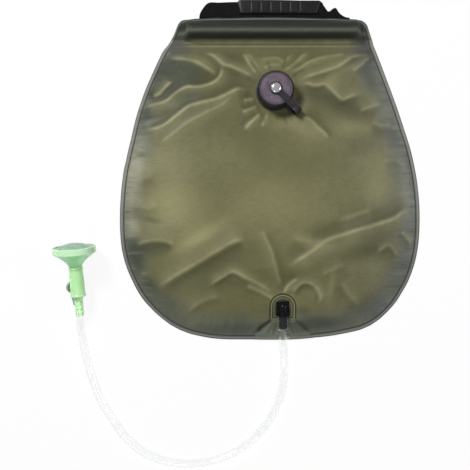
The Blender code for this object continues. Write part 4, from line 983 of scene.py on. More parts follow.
def pocket_top(x, y):
    """Upper face of the front sheet over the rod's pocket."""
    past_rod = np.abs(x - ROD_SHIFT) - ROD_LENGTH / 2 - 0.0024
    ends = 1 - ease(past_rod / POCKET_END_RUN)
    away = y - ROD_Y
    share = np.where(away > 0, away / POCKET_HIGH, -away / POCKET_LOW)
    power = np.where(away > 0, 2.4, 3.4)
    rise = POCKET_RISE * (1 - np.minimum(share, 1) ** power) * ends
    for leg in LEGS:
        beside = ease((np.abs(x - leg) - WEBBING_WIDTH / 2 - 0.006) / 0.009)
        rise = np.where(away > 0, np.maximum(rise, (WEBBING + GAP) * (1 - beside)), rise)
    creased = np.sin((x + 0.6 * y) * 900) * bell((np.abs(x - ROD_SHIFT) - 0.117) / 0.008)
    ripple = 0.0002 * np.sin(x * 210 + 1.3) * np.sin(y * 400)
    return LAID_Z + rise + (0.0006 * creased + ripple) * ease(rise / 0.006)


def bag_outline():
    """The whole bag's edge as a closed line."""
    bottom = [(x, float(belly_bottom(x))) for x in np.linspace(-CORNER_X, CORNER_X, 60)]
    right = [(half_width(y), float(y))
             for y in np.linspace(CORNER_Y, TOP_Y - CORNER_RADIUS, 70)[1:]]
    for y in np.linspace(TOP_Y - CORNER_RADIUS, TOP_Y, 8)[1:]:
        right.append((half_width(y), float(y) - TOP_BOW * (y - SHOULDER_Y) / SLEEVE_DEPTH))
    top = [(share * half_width(TOP_Y), TOP_Y - TOP_BOW * share * share)
           for share in np.linspace(1, -1, 24)[1:-1]]
    left = [(-x, y) for x, y in reversed(right)]
    return bottom + right + top + left + [bottom[0]]


def outlet_distance(x, y):
    """Distance from the outline of the outlet's plate, less than 0 inside it."""
    half = (OUTLET_HIGH - OUTLET_LOW) / 2 - 0.0004
    centre = OUTLET_HIGH - half
    round_top = np.hypot(x - OUTLET_X, y - centre) - half
    straight = np.maximum(np.abs(x - OUTLET_X) - half, OUTLET_LOW - y)
    return np.where(y > centre, round_top, straight)


def snap(x, y):
    """Moves the points beside the neck's hole and the outlet's window onto their edges."""
    step = 0.0013
    spare = 1e-5
    away = np.hypot(x - NECK[0], y - NECK[1])
    near = np.abs(away - NECK_HOLE) < step
    scale = np.where(near, NECK_HOLE / np.maximum(away, 1e-6), 1)
    x = NECK[0] + (x - NECK[0]) * scale
    y = NECK[1] + (y - NECK[1]) * scale
    left, right = OUTLET_X - WINDOW_HALF, OUTLET_X + WINDOW_HALF
    low, high = WINDOW_Y
    for side in (left, right):
        near = (np.abs(x - side) < step) & (y > low - step) & (y < high + step)
        x = np.where(near, side, x)
    for side in (low, high):
        near = (np.abs(y - side) < step) & (x > left - step) & (x < right + step)
        y = np.where(near, side, y)
    in_hole = np.hypot(x - NECK[0], y - NECK[1]) < NECK_HOLE + spare
    in_window = ((x > left - spare) & (x < right + spare) & (y > low - spare)
                 & (y < high + spare))
    return x, y, in_hole, in_window


def sheet_piece(name, x, y, z, edge, faces, material, used=slice(None)):
    """A sheet's mesh, moved to where the full bag has it, with its edge stored."""
    out_x, out_y = settle(x, y, edge)
    points = np.stack([gather(out_x, y), out_y, z], axis=1)[used]
    piece = mesh_piece(name, points, faces, [material])
    store(piece, "edge", edge[used])
    return piece


def finish_sheet(piece, slot, node, **rests):
    """Gives the sheet its thickness and its place among the CAD nodes."""
    shell = piece.modifiers.new("thickness", "SOLIDIFY")
    shell.thickness = SHEET
    shell.offset = -1
    keep(bake(piece), "bag", slot, node)


def sheet_grid(step):
    """X and Y of a sheet's points row by row, and the count of rows and of points in each."""
    rows = bag_rows(step)
    return rows[:, :, 0].ravel(), rows[:, :, 1].ravel(), *rows.shape[:2]


def grid_faces(tall, wide):
    """Faces between the rows of a sheet."""
    return [(low, low + 1, low + wide + 1, low + wide)
            for i in range(tall - 1) for low in range(i * wide, (i + 1) * wide - 1)]


class SHOWER_OT_front(bpy.types.Operator):
    """Makes the olive front sheet with its creases, its rod pocket and its weld"""

    bl_idname = "shower.front"
    bl_label = "Front sheet"

    def execute(self, context):
        look = settings("bag")
        x, y, tall, wide = sheet_grid(look.cell)
        row_levels = y.reshape(tall, wide)[:, wide // 2]
        first_over_rod = np.argmin(np.abs(row_levels - SHOULDER_Y - 0.0002)) + 1
        over_rod = np.repeat(np.arange(tall), wide) >= first_over_rod
        x, y, in_hole, in_window = snap(x, y)
        chamber, _, along = from_lines(x, y, chamber_outline())
        edge = from_lines(x, y, bag_outline())[0]
        low, worn, hollow_shade = front_top(x, y, chamber, along, look)
        faces = [face for face in grid_faces(tall, wide)
                 if not (all(in_hole[v] for v in face) or all(in_window[v] for v in face))]
        used = np.zeros(len(x), dtype=bool)
        used[np.array(faces).ravel()] = True
        number = np.cumsum(used) - 1
        faces = [tuple(int(number[v]) for v in face) for face in faces]
        front = sheet_piece("front_sheet", x, y, np.where(over_rod, pocket_top(x, y), low), edge,
                            faces, olive_sheet(look), used)
        out = tent_run(x, y)[1]
        # Painted light, painted shade, and painted shade along the sharp folds
        pale, dark, fold = light_and_shade_masks(x, y)
        # Over the pocket the hollow mask is a flat painted shade
        for name, mask in (("worn", worn * ~over_rod), ("pale", pale), ("dark", dark),
                           ("hollow", np.where(over_rod, 0.7, hollow_shade)), ("fold", fold),
                           ("outlet", outlet_distance(x, y)),
                           ("patch", (1 - ease(out / 0.003)) * (y < OUTLET_LOW - 0.001))):
            store(front, name, mask[used])
        finish_sheet(front, "olive_sheet", "bag_front_panel", rests_on=["bag_back_panel"])
        return {"FINISHED"}


class SHOWER_OT_back(bpy.types.Operator):
    """Makes the black back sheet that the bag lies on"""

    bl_idname = "shower.back"
    bl_label = "Back sheet"

    def execute(self, context):
        look = settings("bag")
        x, y, tall, wide = sheet_grid(look.cell * 3)
        edge = from_lines(x, y, bag_outline())[0]
        back = sheet_piece("back_sheet", x, y, np.full(x.shape, SHEET), edge,
                           grid_faces(tall, wide), black_sheet(look))
        finish_sheet(back, "black_sheet", "bag_back_panel")
        return {"FINISHED"}


def rounded(points, radius, parts=3):
    """A closed line of (a, b) points with its corners rounded by short curves."""
    result = []
    for i, point in enumerate(points):
        here = Vector((*point, 0))
        back = Vector((*points[i - 1], 0)) - here
        ahead = Vector((*points[(i + 1) % len(points)], 0)) - here
        cut = min(radius, back.length * 0.45, ahead.length * 0.45)
        start = here + back.normalized() * cut
        end = here + ahead.normalized() * cut
        for k in range(parts + 1):
            t = k / parts
            p = start * (1 - t) ** 2 + here * 2 * t * (1 - t) + end * t ** 2
            result.append((p.x, p.y))
    return result


def skin(rings, closed):
    """Points and faces through rings of equal count, open at the ends unless the run closes."""
    count, total = len(rings[0]), len(rings)
    faces = []
    for i in range(total if closed else total - 1):
        low, high = i * count, ((i + 1) % total) * count
        for j in range(count):
            k = (j + 1) % count
            faces.append((low + j, low + k, high + k, high + j))
    return [Vector(p) for ring in rings for p in ring], faces


def loft(rings, closed=False):
    """Points and faces through rings of equal count, with flat ends unless the run closes."""
    points, faces = skin(rings, closed)
    if not closed:
        faces.append(tuple(reversed(range(len(rings[0])))))
        faces.append(tuple(range(len(points) - len(rings[0]), len(points))))
    return points, faces


def lathe(profile, steps, matrix=None, ring=False):
    """Points and faces of a (radius, height) profile turned about Z, from low to high."""
    turns = [math.tau * j / steps for j in range(steps)]
    points, faces = skin([[(radius * math.cos(turn), radius * math.sin(turn), height)
                           for turn in turns]
                          for radius, height in (profile if ring else profile[1:-1])], ring)
    if not ring:
        low, high = len(points), len(points) + 1
        points += [Vector((0, 0, profile[0][1])), Vector((0, 0, profile[-1][1]))]
        for j in range(steps):
            k = (j + 1) % steps
            faces += [(low, k, j), (high, low - steps + j, low - steps + k)]
    return [matrix @ p for p in points] if matrix else points, faces


def together(*shapes):
    """Several lots of points and faces as one."""
    points, faces = [], []
    for more_points, more_faces in shapes:
        faces += [tuple(v + len(points) for v in face) for face in more_faces]
        points += more_points
    return points, faces


def uprights(path):
    """Across and up shares of the direction square to a flat path, at each of its points."""
    result = []
    for i in range(len(path)):
        ahead, behind = path[min(i + 1, len(path) - 1)], path[max(i - 1, 0)]
        along = Vector((ahead[0] - behind[0], ahead[1] - behind[1])).normalized()
        result.append((-along.y, along.x))
    return result


def block(low, high, bevel, parts=3):
    """A box with rounded upright edges and a rounded top, as points and faces."""
    rings = []
    for k in range(-1, parts + 1):
        turn = math.pi / 2 * max(k, 0) / parts
        inset = bevel * (1 - math.cos(turn))
        z = low[2] if k < 0 else high[2] - bevel + bevel * math.sin(turn)
        a, b = (low[0] + inset, low[1] + inset), (high[0] - inset, high[1] - inset)
        rings.append([(x, y, z) for x, y in rounded(
            [(a[0], a[1]), (b[0], a[1]), (b[0], b[1]), (a[0], b[1])],
            max(bevel * 1.6 - inset, bevel * 0.3), parts)])
    return loft(rings)


def shape(name, points_faces, material, sharp=35):
    """A closed piece with its faces outwards, smooth but for its sharp edges."""
    obj = mesh_piece(name, *points_faces, [material])
    work = bmesh.new()
    work.from_mesh(obj.data)
    bmesh.ops.remove_doubles(work, verts=work.verts, dist=1e-7)
    bmesh.ops.recalc_face_normals(work, faces=work.faces)
    work.to_mesh(obj.data)
    work.free()
    obj.data.update()
    return smooth_but_sharp(obj, sharp)


def repeat_tree(name, inputs):
    """A Geometry Nodes tree that repeats a made shape: its named sizes, then its nodes."""
    geometry = ("Geometry", "Geometry")
    return new_tree("GeometryNodeTree", name, [(*geometry, None)] + inputs, [geometry])


def finish_tree(graph, made, material, out):
    """Ends a tree in Realize Instances and Set Material."""
    real = graph.feed(graph.add("GeometryNodeRealizeInstances"), Geometry=made)
    paint = graph.feed(graph.add("GeometryNodeSetMaterial"), Geometry=real.outputs[0],
                       Material=material)
    graph.feed(out, Geometry=paint.outputs[0])


def spread(graph, spots, made):
    """The shape made, put on every spot."""
    return graph.feed(graph.add("GeometryNodeInstanceOnPoints"), Points=spots,
                      Instance=made).outputs[0]


def moved(graph, made, shift):
    """The geometry made, moved by the shift."""
    return graph.feed(graph.add("GeometryNodeTransform"), Geometry=made,
                      Translation=shift).outputs[0]


def grown(name, tree, values, points=((0, 0, 0),), faces=(), matrix=None):
    """An object made by a Geometry Nodes tree with the values given by socket name."""
    obj = mesh_piece(name, points, faces)
    step = obj.modifiers.new("made", "NODES")
    step.node_group = tree
    for item in tree.interface.items_tree:
        if item.item_type == "SOCKET" and item.in_out == "INPUT" and item.name in values:
            step[item.identifier] = values[item.name]
    if matrix:
        obj.matrix_world = matrix
        bpy.context.view_layer.update()
    return smooth_but_sharp(bake(obj), 40)


def ribs_tree():
    """Upright round ribs evenly about an axis, such as those of a screw cap."""
    tree, g, given, out = repeat_tree("upright ribs", [
        ("Count", "Int", 48), ("Circle radius", "Float", 0.025), ("Rib radius", "Float", 0.0007),
        ("Rib height", "Float", 0.015), ("Centre", "Vector", None),
        ("Material", "Material", None)])
    circle = g.feed(g.add("GeometryNodeMeshCircle"), Vertices=given["Count"],
                    Radius=given["Circle radius"])
    rib = g.feed(g.add("GeometryNodeMeshCone"), Vertices=8,
                 Radius_Top=g.times(given["Rib radius"], 0.45),
                 Radius_Bottom=given["Rib radius"], Depth=given["Rib height"])
    ribs = spread(g, circle.outputs["Mesh"], rib.outputs["Mesh"])
    finish_tree(g, moved(g, ribs, given["Centre"]), given["Material"], out)
    return tree


def pads_tree():
    """Low rounded pads in a row, such as those of a grip."""
    tree, g, given, out = repeat_tree("row of pads", [
        ("Count", "Int", 6), ("Pitch", "Vector", None), ("First", "Vector", None),
        ("Pad size", "Vector", None), ("Material", "Material", None)])
    line = g.feed(g.add("GeometryNodeMeshLine", mode="OFFSET"), Count=given["Count"],
                  Start_Location=given["First"], Offset=given["Pitch"])
    cube = g.feed(g.add("GeometryNodeMeshCube"), Size=given["Pad size"])
    soft = g.feed(g.add("GeometryNodeSubdivisionSurface"), Mesh=cube.outputs["Mesh"],
                  Level=3, Edge_Crease=0.45)
    pads = spread(g, line.outputs["Mesh"], soft.outputs["Mesh"])
    finish_tree(g, pads, given["Material"], out)
    return tree


def cap_material(look):
    """Black polymer: painted reflection greys its top, scuffed by handling, with rings of moulding
    marks.
    """
    mat, g, shader = new_material("cap polymer", Specular_IOR_Level=0.4)
    place = g.place()
    x, y, z = g.split(place)
    away = g.math("SQRT", g.plus(g.math("POWER", g.minus(x, NECK[0]), 2.0),
                                 g.math("POWER", g.minus(y, NECK[1]), 2.0)))
    mottle = g.shared("mottle", Vector=place, Scale=150.0)
    reach = g.scaled(g.noise(place, 75, 3, 0.6), 0.0016, away)
    disc = g.fall(g.math("DIVIDE", reach, 0.03), 0.735, 0.80)
    top = g.times(g.math("GREATER_THAN", z, 0.0376), disc)
    # The top's grey is a painted reflection; the patches, specks, rings and scratches on it are
    # wear and moulding marks
    worn = g.lay(look.top_sheen_colour, (102, 88, 103), mottle["Patches"])
    worn = g.lay(worn, (84, 76, 86), mottle["Specks"], 0.55)
    rings = g.math("SINE", g.times(away, 5200.0))
    worn = g.lay(worn, (70, 62, 72), g.scaled(rings, 0.07, 0.07))
    scratch = g.noise(g.stretched(place, (300, 2600, 300), (0, 0, 0.8)), 1.0, 2)
    worn = g.lay(worn, (176, 168, 178), g.rise(scratch, 0.62, 0.75), 0.4)
    dusty = g.lay(look.colour, (62, 58, 52), mottle["Specks"], 0.35)
    g.feed(shader, Base_Color=g.mix(top, dusty, worn), Roughness=g.scaled(top, 0.14, 0.40),
           Normal=g.bump(g.noise(place, 2400, 3), 0.00006))
    return mat


def chrome_material():
    """Polished plated steel with fine scratches."""
    mat, g, shader = new_material("chrome plate", Metallic=1.0)
    place = g.place()
    fine = g.noise(g.stretched(place, (900, 5000, 900), (0, 0, 0.4)), 1.0, 3)
    spots = g.shared("mottle", Vector=place, Scale=300.0)
    g.feed(shader, Base_Color=g.lay((226, 223, 228), (176, 170, 178), spots["Specks"], 0.25),
           Roughness=g.scaled(fine, 0.12, 0.10), Normal=g.bump(fine, 0.000012))
    return mat


class SHOWER_OT_cap(bpy.types.Operator):
    """Makes the screw cap with its ribs"""

    bl_idname = "shower.cap"
    bl_label = "Filler cap"

    def execute(self, context):
        look = settings("cap")
        mat = cap_material(look)
        low, high, ceiling = 0.0168, 0.0388, 0.0363
        side, skirt, bore, inside = 0.0244, 0.0250, 0.0023, 0.0216
        profile = [(inside, low), (skirt, low), (skirt, low + 0.0018), (side, low + 0.0024),
                   (side, high - 0.0030), (0.0238, high - 0.0009), (0.0229, high - 0.0001),
                   (0.0219, high), (0.0216, high - 0.0006), (0.0209, high - 0.0007),
                   (0.0205, high), (0.0202, high), (0.0199, high - 0.0003), (0.0196, high),
                   (0.0094, high), (0.0092, high - 0.0003), (0.0088, high - 0.0003),
                   (0.0086, high), (bore, high), (bore, ceiling), (inside, ceiling)]
        turned = lathe(rounded(profile, 0.0004, 2), 128, AT_NECK, ring=True)
        keep(shape("cap_shell", turned, mat, 40), "cap", "black_moulding", "filler_cap")
        tall = 0.0162
        ribs = grown("cap_ribs", ribs_tree(), {
            "Count": look.ribs, "Circle radius": side, "Rib radius": look.rib_depth + 0.0003,
            "Rib height": tall, "Centre": (*NECK, low + 0.0020 + tall / 2), "Material": mat})
        keep(ribs, "cap", "black_moulding")
        return {"FINISHED"}


class SHOWER_OT_rivet(bpy.types.Operator):
    """Makes the rivet that holds the tether on the cap"""

    bl_idname = "shower.rivet"
    bl_label = "Rivet"

    def execute(self, context):
        head, tail, shank, brim = 0.0412, 0.0035, 0.0020, 0.0070
        profile = [(0, 0.0331), (0.0032, 0.0331), (tail, 0.0333), (tail, 0.0340),
                   (shank, 0.0340), (shank, head), (0.0066, head), (brim, head + 0.0004)]
        for i in range(10):
            turn = math.pi / 2 * i / 10
            profile.append((brim * math.cos(turn) ** 0.8, head + 0.0007
                            + 0.0024 * math.sin(turn)))
        profile += [(0.0012, head + 0.0031), (0, head + 0.0030)]
        rivet = shape("rivet_head", lathe(profile, 64, AT_NECK), chrome_material(), 50)
        keep(rivet, "rivet", "chrome", "cap_rivet")
        return {"FINISHED"}


class SHOWER_OT_tether(bpy.types.Operator):
    """Makes the rubber tether: eyelet, folded strap and the ring round the neck"""

    bl_idname = "shower.tether"
    bl_label = "Cap tether"

    def execute(self, context):
        mat = moulded("tether rubber", (22, 19, 24), (58, 54, 62), 0.25, 0.30)
        ring = [(NECK_HOLE, 0.0145), (0.0270, 0.0145), (0.0270, 0.0165), (NECK_HOLE, 0.0165)]
        base = lathe(rounded(ring, 0.0006), 128, AT_NECK, ring=True)
        eye = [(0.0023, 0.0391), (0.0084, 0.0391), (0.0084, 0.0409), (0.0023, 0.0409)]
        eyelet = lathe(rounded(eye, 0.0005), 64, AT_NECK, ring=True)
        thick, top, bottom = 0.0015, 0.0400, 0.0155
        start, side, end, reach = 0.0059, 0.025, 0.0255, 0.046
        bend = (top - bottom) / 2
        centre = reach - thick / 2 - bend
        path = [(start + (side - start) * i / 12, top) for i in range(13)]
        path += [(side + (centre - side) * i / 5, top) for i in range(1, 5)]
        for i in range(25):
            turn = math.pi / 2 - math.pi * i / 24
            path.append((centre + bend * math.cos(turn), (top + bottom) / 2
                         + bend * math.sin(turn)))
        path += [(centre - (centre - end) * i / 6, bottom) for i in range(1, 7)]
        turned = AT_NECK @ Matrix.Rotation(math.radians(-44), 4, "Z")
        rings = []
        for i, ((r, z), (out, up)) in enumerate(zip(path, uprights(path))):
            half = (0.0084 + 0.0021 * min(i / 12, 1)) / 2
            # A flat strap with a raised bead along both edges
            bead = [(half, -thick / 2), (half, thick / 2), (half - 0.0010, thick / 2 + 0.0001),
                    (half - 0.0016, thick / 2 - 0.0003)]
            section = [(-bead[0][0], bead[0][1])] + bead + [(-a, b) for a, b in bead[:0:-1]]
            rings.append([turned @ Vector((r + out * b, a, z + up * b))
                          for a, b in rounded(section, 0.0003, 2)])
        tether = shape("tether", together(base, eyelet, loft(rings)), mat, 45)
        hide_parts("cap_tether")
        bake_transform(tether)
        return {"FINISHED"}


def webbing_material(look):
    """Woven black polyester: a herringbone of ribs across the strap."""
    mat, g, shader = new_material("black webbing", Roughness=0.85, Specular_IOR_Level=0.06)
    place = g.place()
    weave = g.shared("weave", Vector=g.stretched(place, (1, 1, 1), (0, 0, 0.785)),
                     Pitch=0.0011, Unevenness=0.3)
    fine = g.shared("weave", Vector=place, Pitch=0.00045, Unevenness=0.4)
    mottle = g.shared("mottle", Vector=place, Scale=60.0)
    tone = g.lay(look.webbing_colour, (26, 26, 27), weave["Threads"], 0.25)
    g.feed(shader, Base_Color=g.lay(tone, (64, 63, 61), mottle["Specks"], 0.08),
           Normal=g.bump(weave["Height"], 0.00016, g.bump(fine["Height"], 0.00006)))
    return mat


class SHOWER_OT_webbing(bpy.types.Operator):
    """Makes the handle's webbing: the strap along the top edge and its loops round the rod"""

    bl_idname = "shower.webbing"
    bl_label = "Handle webbing"

    def execute(self, context):
        mat = webbing_material(settings("handle"))
        # Place along the strap, its upper edge and its rise over the floor as a share
        left = [(-0.1003, 0.2300, 0.0), (-0.0992, 0.2350, 0.0), (-0.0972, 0.2388, 0.0),
                (-0.0942, 0.2435, 0.0), (-0.0905, 0.2478, 0.0), (-0.0868, 0.2503, 0.0),
                (-0.0820, 0.2511, 0.0), (-0.0740, 0.2506, 0.05), (-0.0660, 0.2508, 0.25),
                (-0.0560, 0.2510, 0.7)]
        # Under the grip it runs straight, in ten even parts
        grip_step = (GRIP_ENDS[1] - GRIP_ENDS[0]) / 10
        middle = [(GRIP_ENDS[0] + grip_step * i, 0.2510, 1.0) for i in range(11)]
        right = [(0.0768, 0.2462, 1.0), (0.0795, 0.2425, 1.0),
                 (0.0818, 0.2392, 0.85), (0.0845, 0.2376, 0.7), (0.0878, 0.2398, 0.45),
                 (0.0912, 0.2424, 0.3), (0.0945, 0.2428, 0.2), (0.0968, 0.2398, 0.1),
                 (0.1000, 0.2352, 0.0), (0.1050, 0.2316, 0.0), (0.1110, 0.2290, 0.0),
                 (0.1142, 0.2281, 0.0)]
        line = smooth_line([(x, high, WEBBING_Z + 0.0013 * rise)
                            for x, high, rise in left + middle + right], 4)
        rings = []
        for p in line:
            low = top_edge(p.x) + 0.0001
            section = []
            for share, side in ((0, -1), (1, -1), (1, 1), (0, 1)):
                y = low + max(p.y - low, 0.0007) * share
                lifted = min(1, max(0, (y - 0.2300) / 0.004))
                z = WEBBING_Z + (p.z - WEBBING_Z) * lifted
                section.append((y, z + side * WEBBING / 2))
            rings.append([(p.x, a, b) for a, b in rounded(section, 0.0003, 2)])
        strap = loft(rings)
        path = [(0.2292 - 0.0018 * i, WEBBING_Z) for i in range(13)]
        radius = LOOP_RADIUS - WEBBING / 2
        for i in range(37):
            turn = math.radians(-90 - 295 * i / 36)
            path.append((ROD_Y + radius * math.cos(turn), ROD_Z + radius * math.sin(turn)))
        across, thick = WEBBING_WIDTH / 2, WEBBING / 2
        flat = rounded([(-across, -thick), (across, -thick), (across, thick), (-across, thick)],
                       0.0003, 2)
        legs = [loft([[(x + a, y + out * b, z + up * b) for a, b in flat]
                      for (y, z), (out, up) in zip(path, uprights(path))]) for x in LEGS]
        webbing = shape("handle_webbing", together(strap, *legs), mat, 50)
        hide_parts("handle_strap", "handle_loop_left", "handle_loop_right")
        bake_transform(webbing)
        return {"FINISHED"}


class SHOWER_OT_grip(bpy.types.Operator):
    """Makes the rubber grip with its pads and its lip"""

    bl_idname = "shower.grip"
    bl_label = "Handle grip"

    def execute(self, context):
        look = settings("handle")
        mat = moulded("grip rubber", look.grip_colour, (44, 44, 47), 0.2, 0.36, 0.00003,
                      Specular_IOR_Level=0.22)
        lip_mat = moulded("grip lip", (42, 42, 43), (74, 74, 75), 0.3, 0.5)
        low_x, high_x = GRIP_ENDS
        low_y, high_y = 0.2340, 0.2530
        low_z, base = 0.0004, 0.0055
        rings = []
        steps = 72
        for i in range(steps + 1):
            x = low_x + (high_x - low_x) * i / steps
            tuck = 0.0011 * max(0.0, 1 - min(i, steps - i) / 2.2) ** 1.6
            # Both ends slope in towards the bag
            slope = 0.0040 * max(0, 1 - i / 12) - 0.0070 * max(0, 1 - (steps - i) / 14)
            a, b = low_y + tuck, high_y - tuck
            section = [(a, low_z + tuck), (b, low_z + tuck), (b, base - tuck), (a, base - tuck)]
            rings.append([(x + slope * (1 - (p - low_y) / (high_y - low_y)), p, q)
                          for p, q in rounded(section, 0.0018, 4)])
        keep(shape("grip_body", loft(rings), mat, 50), "handle", "black_rubber", "handle_grip")

        rings = []
        steps = 40
        root = high_y - 0.0012
        for i in range(steps + 1):
            x = low_x + 0.0012 + 0.0911 * i / steps
            full = min(1.0, 0.5 + min(i, steps - i) / 6)
            top = 0.2552 - 0.0020 * (i / steps) ** 1.6
            section = [(root, 0.0017), (top, 0.0020), (top + 0.0001, 0.0030),
                       (top - 0.0004, 0.0040), (root, 0.0044)]
            section = [(root + (p - root) * full, q) for p, q in section]
            rings.append([(x, p, q) for p, q in rounded(section, 0.0006)])
        keep(shape("grip_lip", loft(rings), lip_mat, 50), "handle", "black_rubber")

        first = (low_x + high_x) / 2 - look.pitch * (look.pads - 1) / 2
        pads = grown("grip_pads", pads_tree(), {
            "Count": look.pads, "Pitch": (look.pitch, 0, 0),
            "First": (first, (low_y + high_y) / 2, base - 0.0003),
            "Pad size": (look.pitch - 0.0020, high_y - low_y - 0.0030, 0.0024),
            "Material": mat})
        keep(pads, "handle", "black_rubber")
        return {"FINISHED"}


def barb_side(length, rings):
    """Outer side of a hose barb from its shoulder to its tip, as (radius, place) pairs."""
    radius, ring = 0.0036, 0.0007
    pitch = length / (rings + 0.5)
    profile = [(radius, 0)]
    for i in range(rings):
        start = pitch * (i + 0.45)
        profile += [(radius, start), (radius + ring, start + ring / 3),
                    (radius + ring * 0.9, start + ring * 0.7), (radius, start + pitch * 0.7)]
    return profile + [(radius, length - ring), (radius - ring, length)]


class SHOWER_OT_outlet(bpy.types.Operator):
    """Makes the outlet: a flange under the sheet, a block, an elbow and a ringed barb"""

    bl_idname = "shower.outlet"
    bl_label = "Outlet"

    def execute(self, context):
        look = settings("water")
        mat = moulded("outlet polymer", look.outlet_colour, (22, 22, 28), 0.1, 0.14, 0.00001,
                      Specular_IOR_Level=0.14)
        half = 0.018
        centre = OUTLET_HIGH - half
        outline = [(OUTLET_X - half, OUTLET_LOW), (OUTLET_X + half, OUTLET_LOW)]
        outline += [(OUTLET_X + half * math.cos(math.pi * i / 36),
                     centre + half * math.sin(math.pi * i / 36)) for i in range(37)]
        plate = loft([[(x, y, z) for x, y in outline] for z in (0.0060, 0.0076)])
        raised = block((OUTLET_X - 0.0087, -0.1961, 0.0068),
                       (OUTLET_X + 0.0087, -0.1757, 0.0093), 0.0006)
        post = block((OUTLET_X - 0.00545, -0.1958, 0.0085), (OUTLET_X + 0.00545, -0.1815, 0.0151),
                     0.0004)
        radius = 0.00575
        back = 0.0196 - radius
        profile = [(radius * math.cos(math.pi / 2 * i / 12),
                    -back - radius * math.sin(math.pi / 2 * i / 12)) for i in range(12, -1, -1)]
        profile[0] = (WATERWAY, profile[0][1])
        profile += [(radius, -0.0005), (0.0055, 0)] + barb_side(0.017, 3)
        turn = Matrix.Translation((OUTLET_X, BARB_SHOULDER_Y, BARB_Z)) @ Matrix.Rotation(
            math.pi / 2, 4, "X")
        tube = lathe(profile + [(WATERWAY, 0.017), (WATERWAY, -back)], 48, turn, ring=True)
        closed = lathe([(0, -back - 0.0057), (0.0026, -back - 0.0052), (0.0026, -back + 0.001),
                        (0, -back + 0.001)], 48, turn)
        fitting = shape("outlet_body", together(plate, raised, post, tube, closed), mat)
        keep(fitting, "bag", "black_moulding", "outlet_fitting")
        return {"FINISHED"}


# The hose's way over the floor, between its two straight ends
ROUTE = [
    (0.0190, -0.2380, 0.0138), (0.0202, -0.2530, 0.0096), (0.0208, -0.2680, 0.0066),
    (0.0202, -0.2830, 0.0061), (0.0182, -0.2983, 0.0061), (0.0148, -0.3120, 0.0061),
    (0.0097, -0.3245, 0.0061), (0.0022, -0.3395, 0.0061), (-0.0075, -0.3535, 0.0061),
    (-0.0195, -0.3672, 0.0061), (-0.0355, -0.3805, 0.0061), (-0.0570, -0.3930, 0.0061),
    (-0.0830, -0.4022, 0.0061), (-0.1130, -0.4060, 0.0061), (-0.1450, -0.4025, 0.0061),
    (-0.1720, -0.3932, 0.0061), (-0.1905, -0.3808, 0.0061), (-0.2050, -0.3675, 0.0061),
    (-0.2160, -0.3535, 0.0061), (-0.2258, -0.3390, 0.0061), (-0.2350, -0.3240, 0.0061),
    (-0.2430, -0.3080, 0.0061), (-0.2492, -0.2915, 0.0061), (-0.2545, -0.2755, 0.0061),
    (-0.2587, -0.2600, 0.0064), (-0.2617, -0.2455, 0.0086),
]

HEAD = (Matrix.Translation((-0.2667, -0.1945, 0.01718))
        @ Matrix.Rotation(math.radians(3.5), 4, "Z")
        @ Matrix.Rotation(math.radians(8 - 90), 4, "X"))
HEAD_AXIS = (HEAD.to_3x3() @ Vector((0, 0, 1))).normalized()
TAP_DROP = math.radians(50)
TAP_OUT = Vector((-math.cos(TAP_DROP), math.sin(TAP_DROP), 0))
TAP_ARM = Vector((0, 0, -1))
TAP = (HEAD @ Matrix.Translation((0, 0, 0.0397))
       @ Matrix((TAP_ARM, TAP_OUT.cross(TAP_ARM), TAP_OUT)).transposed().to_4x4())


def hose_material(look):
    """Clear hose, a little milky, with the water mark of long storage."""
    mat, g, shader = new_material("clear hose", IOR=1.45, Transmission_Weight=1.0)
    place = g.place()
    mottle = g.shared("mottle", Vector=place, Scale=24.0)
    g.feed(shader, Base_Color=g.lay(look.hose_colour, (226, 232, 232), mottle["Patches"], 0.10),
           Roughness=g.scaled(mottle["Specks"], 0.05, 0.05),
           Normal=g.bump(g.noise(place, 300, 1), 0.00001))
    g.surface(g.add("ShaderNodeLightPath").outputs["Is Shadow Ray"], shader.outputs[0],
              g.add("ShaderNodeBsdfTransparent").outputs[0])
    return mat


class SHOWER_OT_hose(bpy.types.Operator):
    """Makes the clear hose, pushed onto both barbs"""

    bl_idname = "shower.hose"
    bl_label = "Hose"

    def execute(self, context):
        look = settings("water")
        start = Vector((OUTLET_X, -0.1962, BARB_Z))
        tip = Vector((OUTLET_X, -0.2134, BARB_Z))
        end = HEAD.to_translation() - HEAD_AXIS * 0.0003
        reach = HEAD @ Vector((0, 0, 0.0284))
        stops = [start, start.lerp(tip, 0.5), tip, tip - Vector((0, 0.012, 0))]
        stops += [Vector(p) for p in ROUTE]
        stops += [end - HEAD_AXIS * 0.024, end - HEAD_AXIS * 0.012, end,
                  end.lerp(reach, 0.5), reach]
        line = smooth_line(stops, 6)
        first = next(i for i, p in enumerate(line) if p.y < tip.y + 0.0001)
        last = max(i for i, p in enumerate(line) if (p - end).dot(HEAD_AXIS) < 0.0001)
        outer, inner = [], []
        for i, p in enumerate(line):
            along = (line[min(i + 1, len(line) - 1)] - line[max(i - 1, 0)]).normalized()
            side = along.cross(Vector((0, 0, 1))).normalized()
            top = side.cross(along).normalized()
            # Over a barb the bore closes onto it
            bore = look.hose_bore * (1.0 if first < i < last else 0.80)
            for rings, radius in ((outer, look.hose_radius), (inner, bore)):
                rings.append([p + side * radius * math.cos(math.tau * k / 24)
                              + top * radius * math.sin(math.tau * k / 24) for k in range(24)])
        tube = shape("hose_tube", loft(outer + inner[::-1], True), hose_material(look), 60)
        keep(tube, "bag", "clear_hose", "hose")
        return {"FINISHED"}


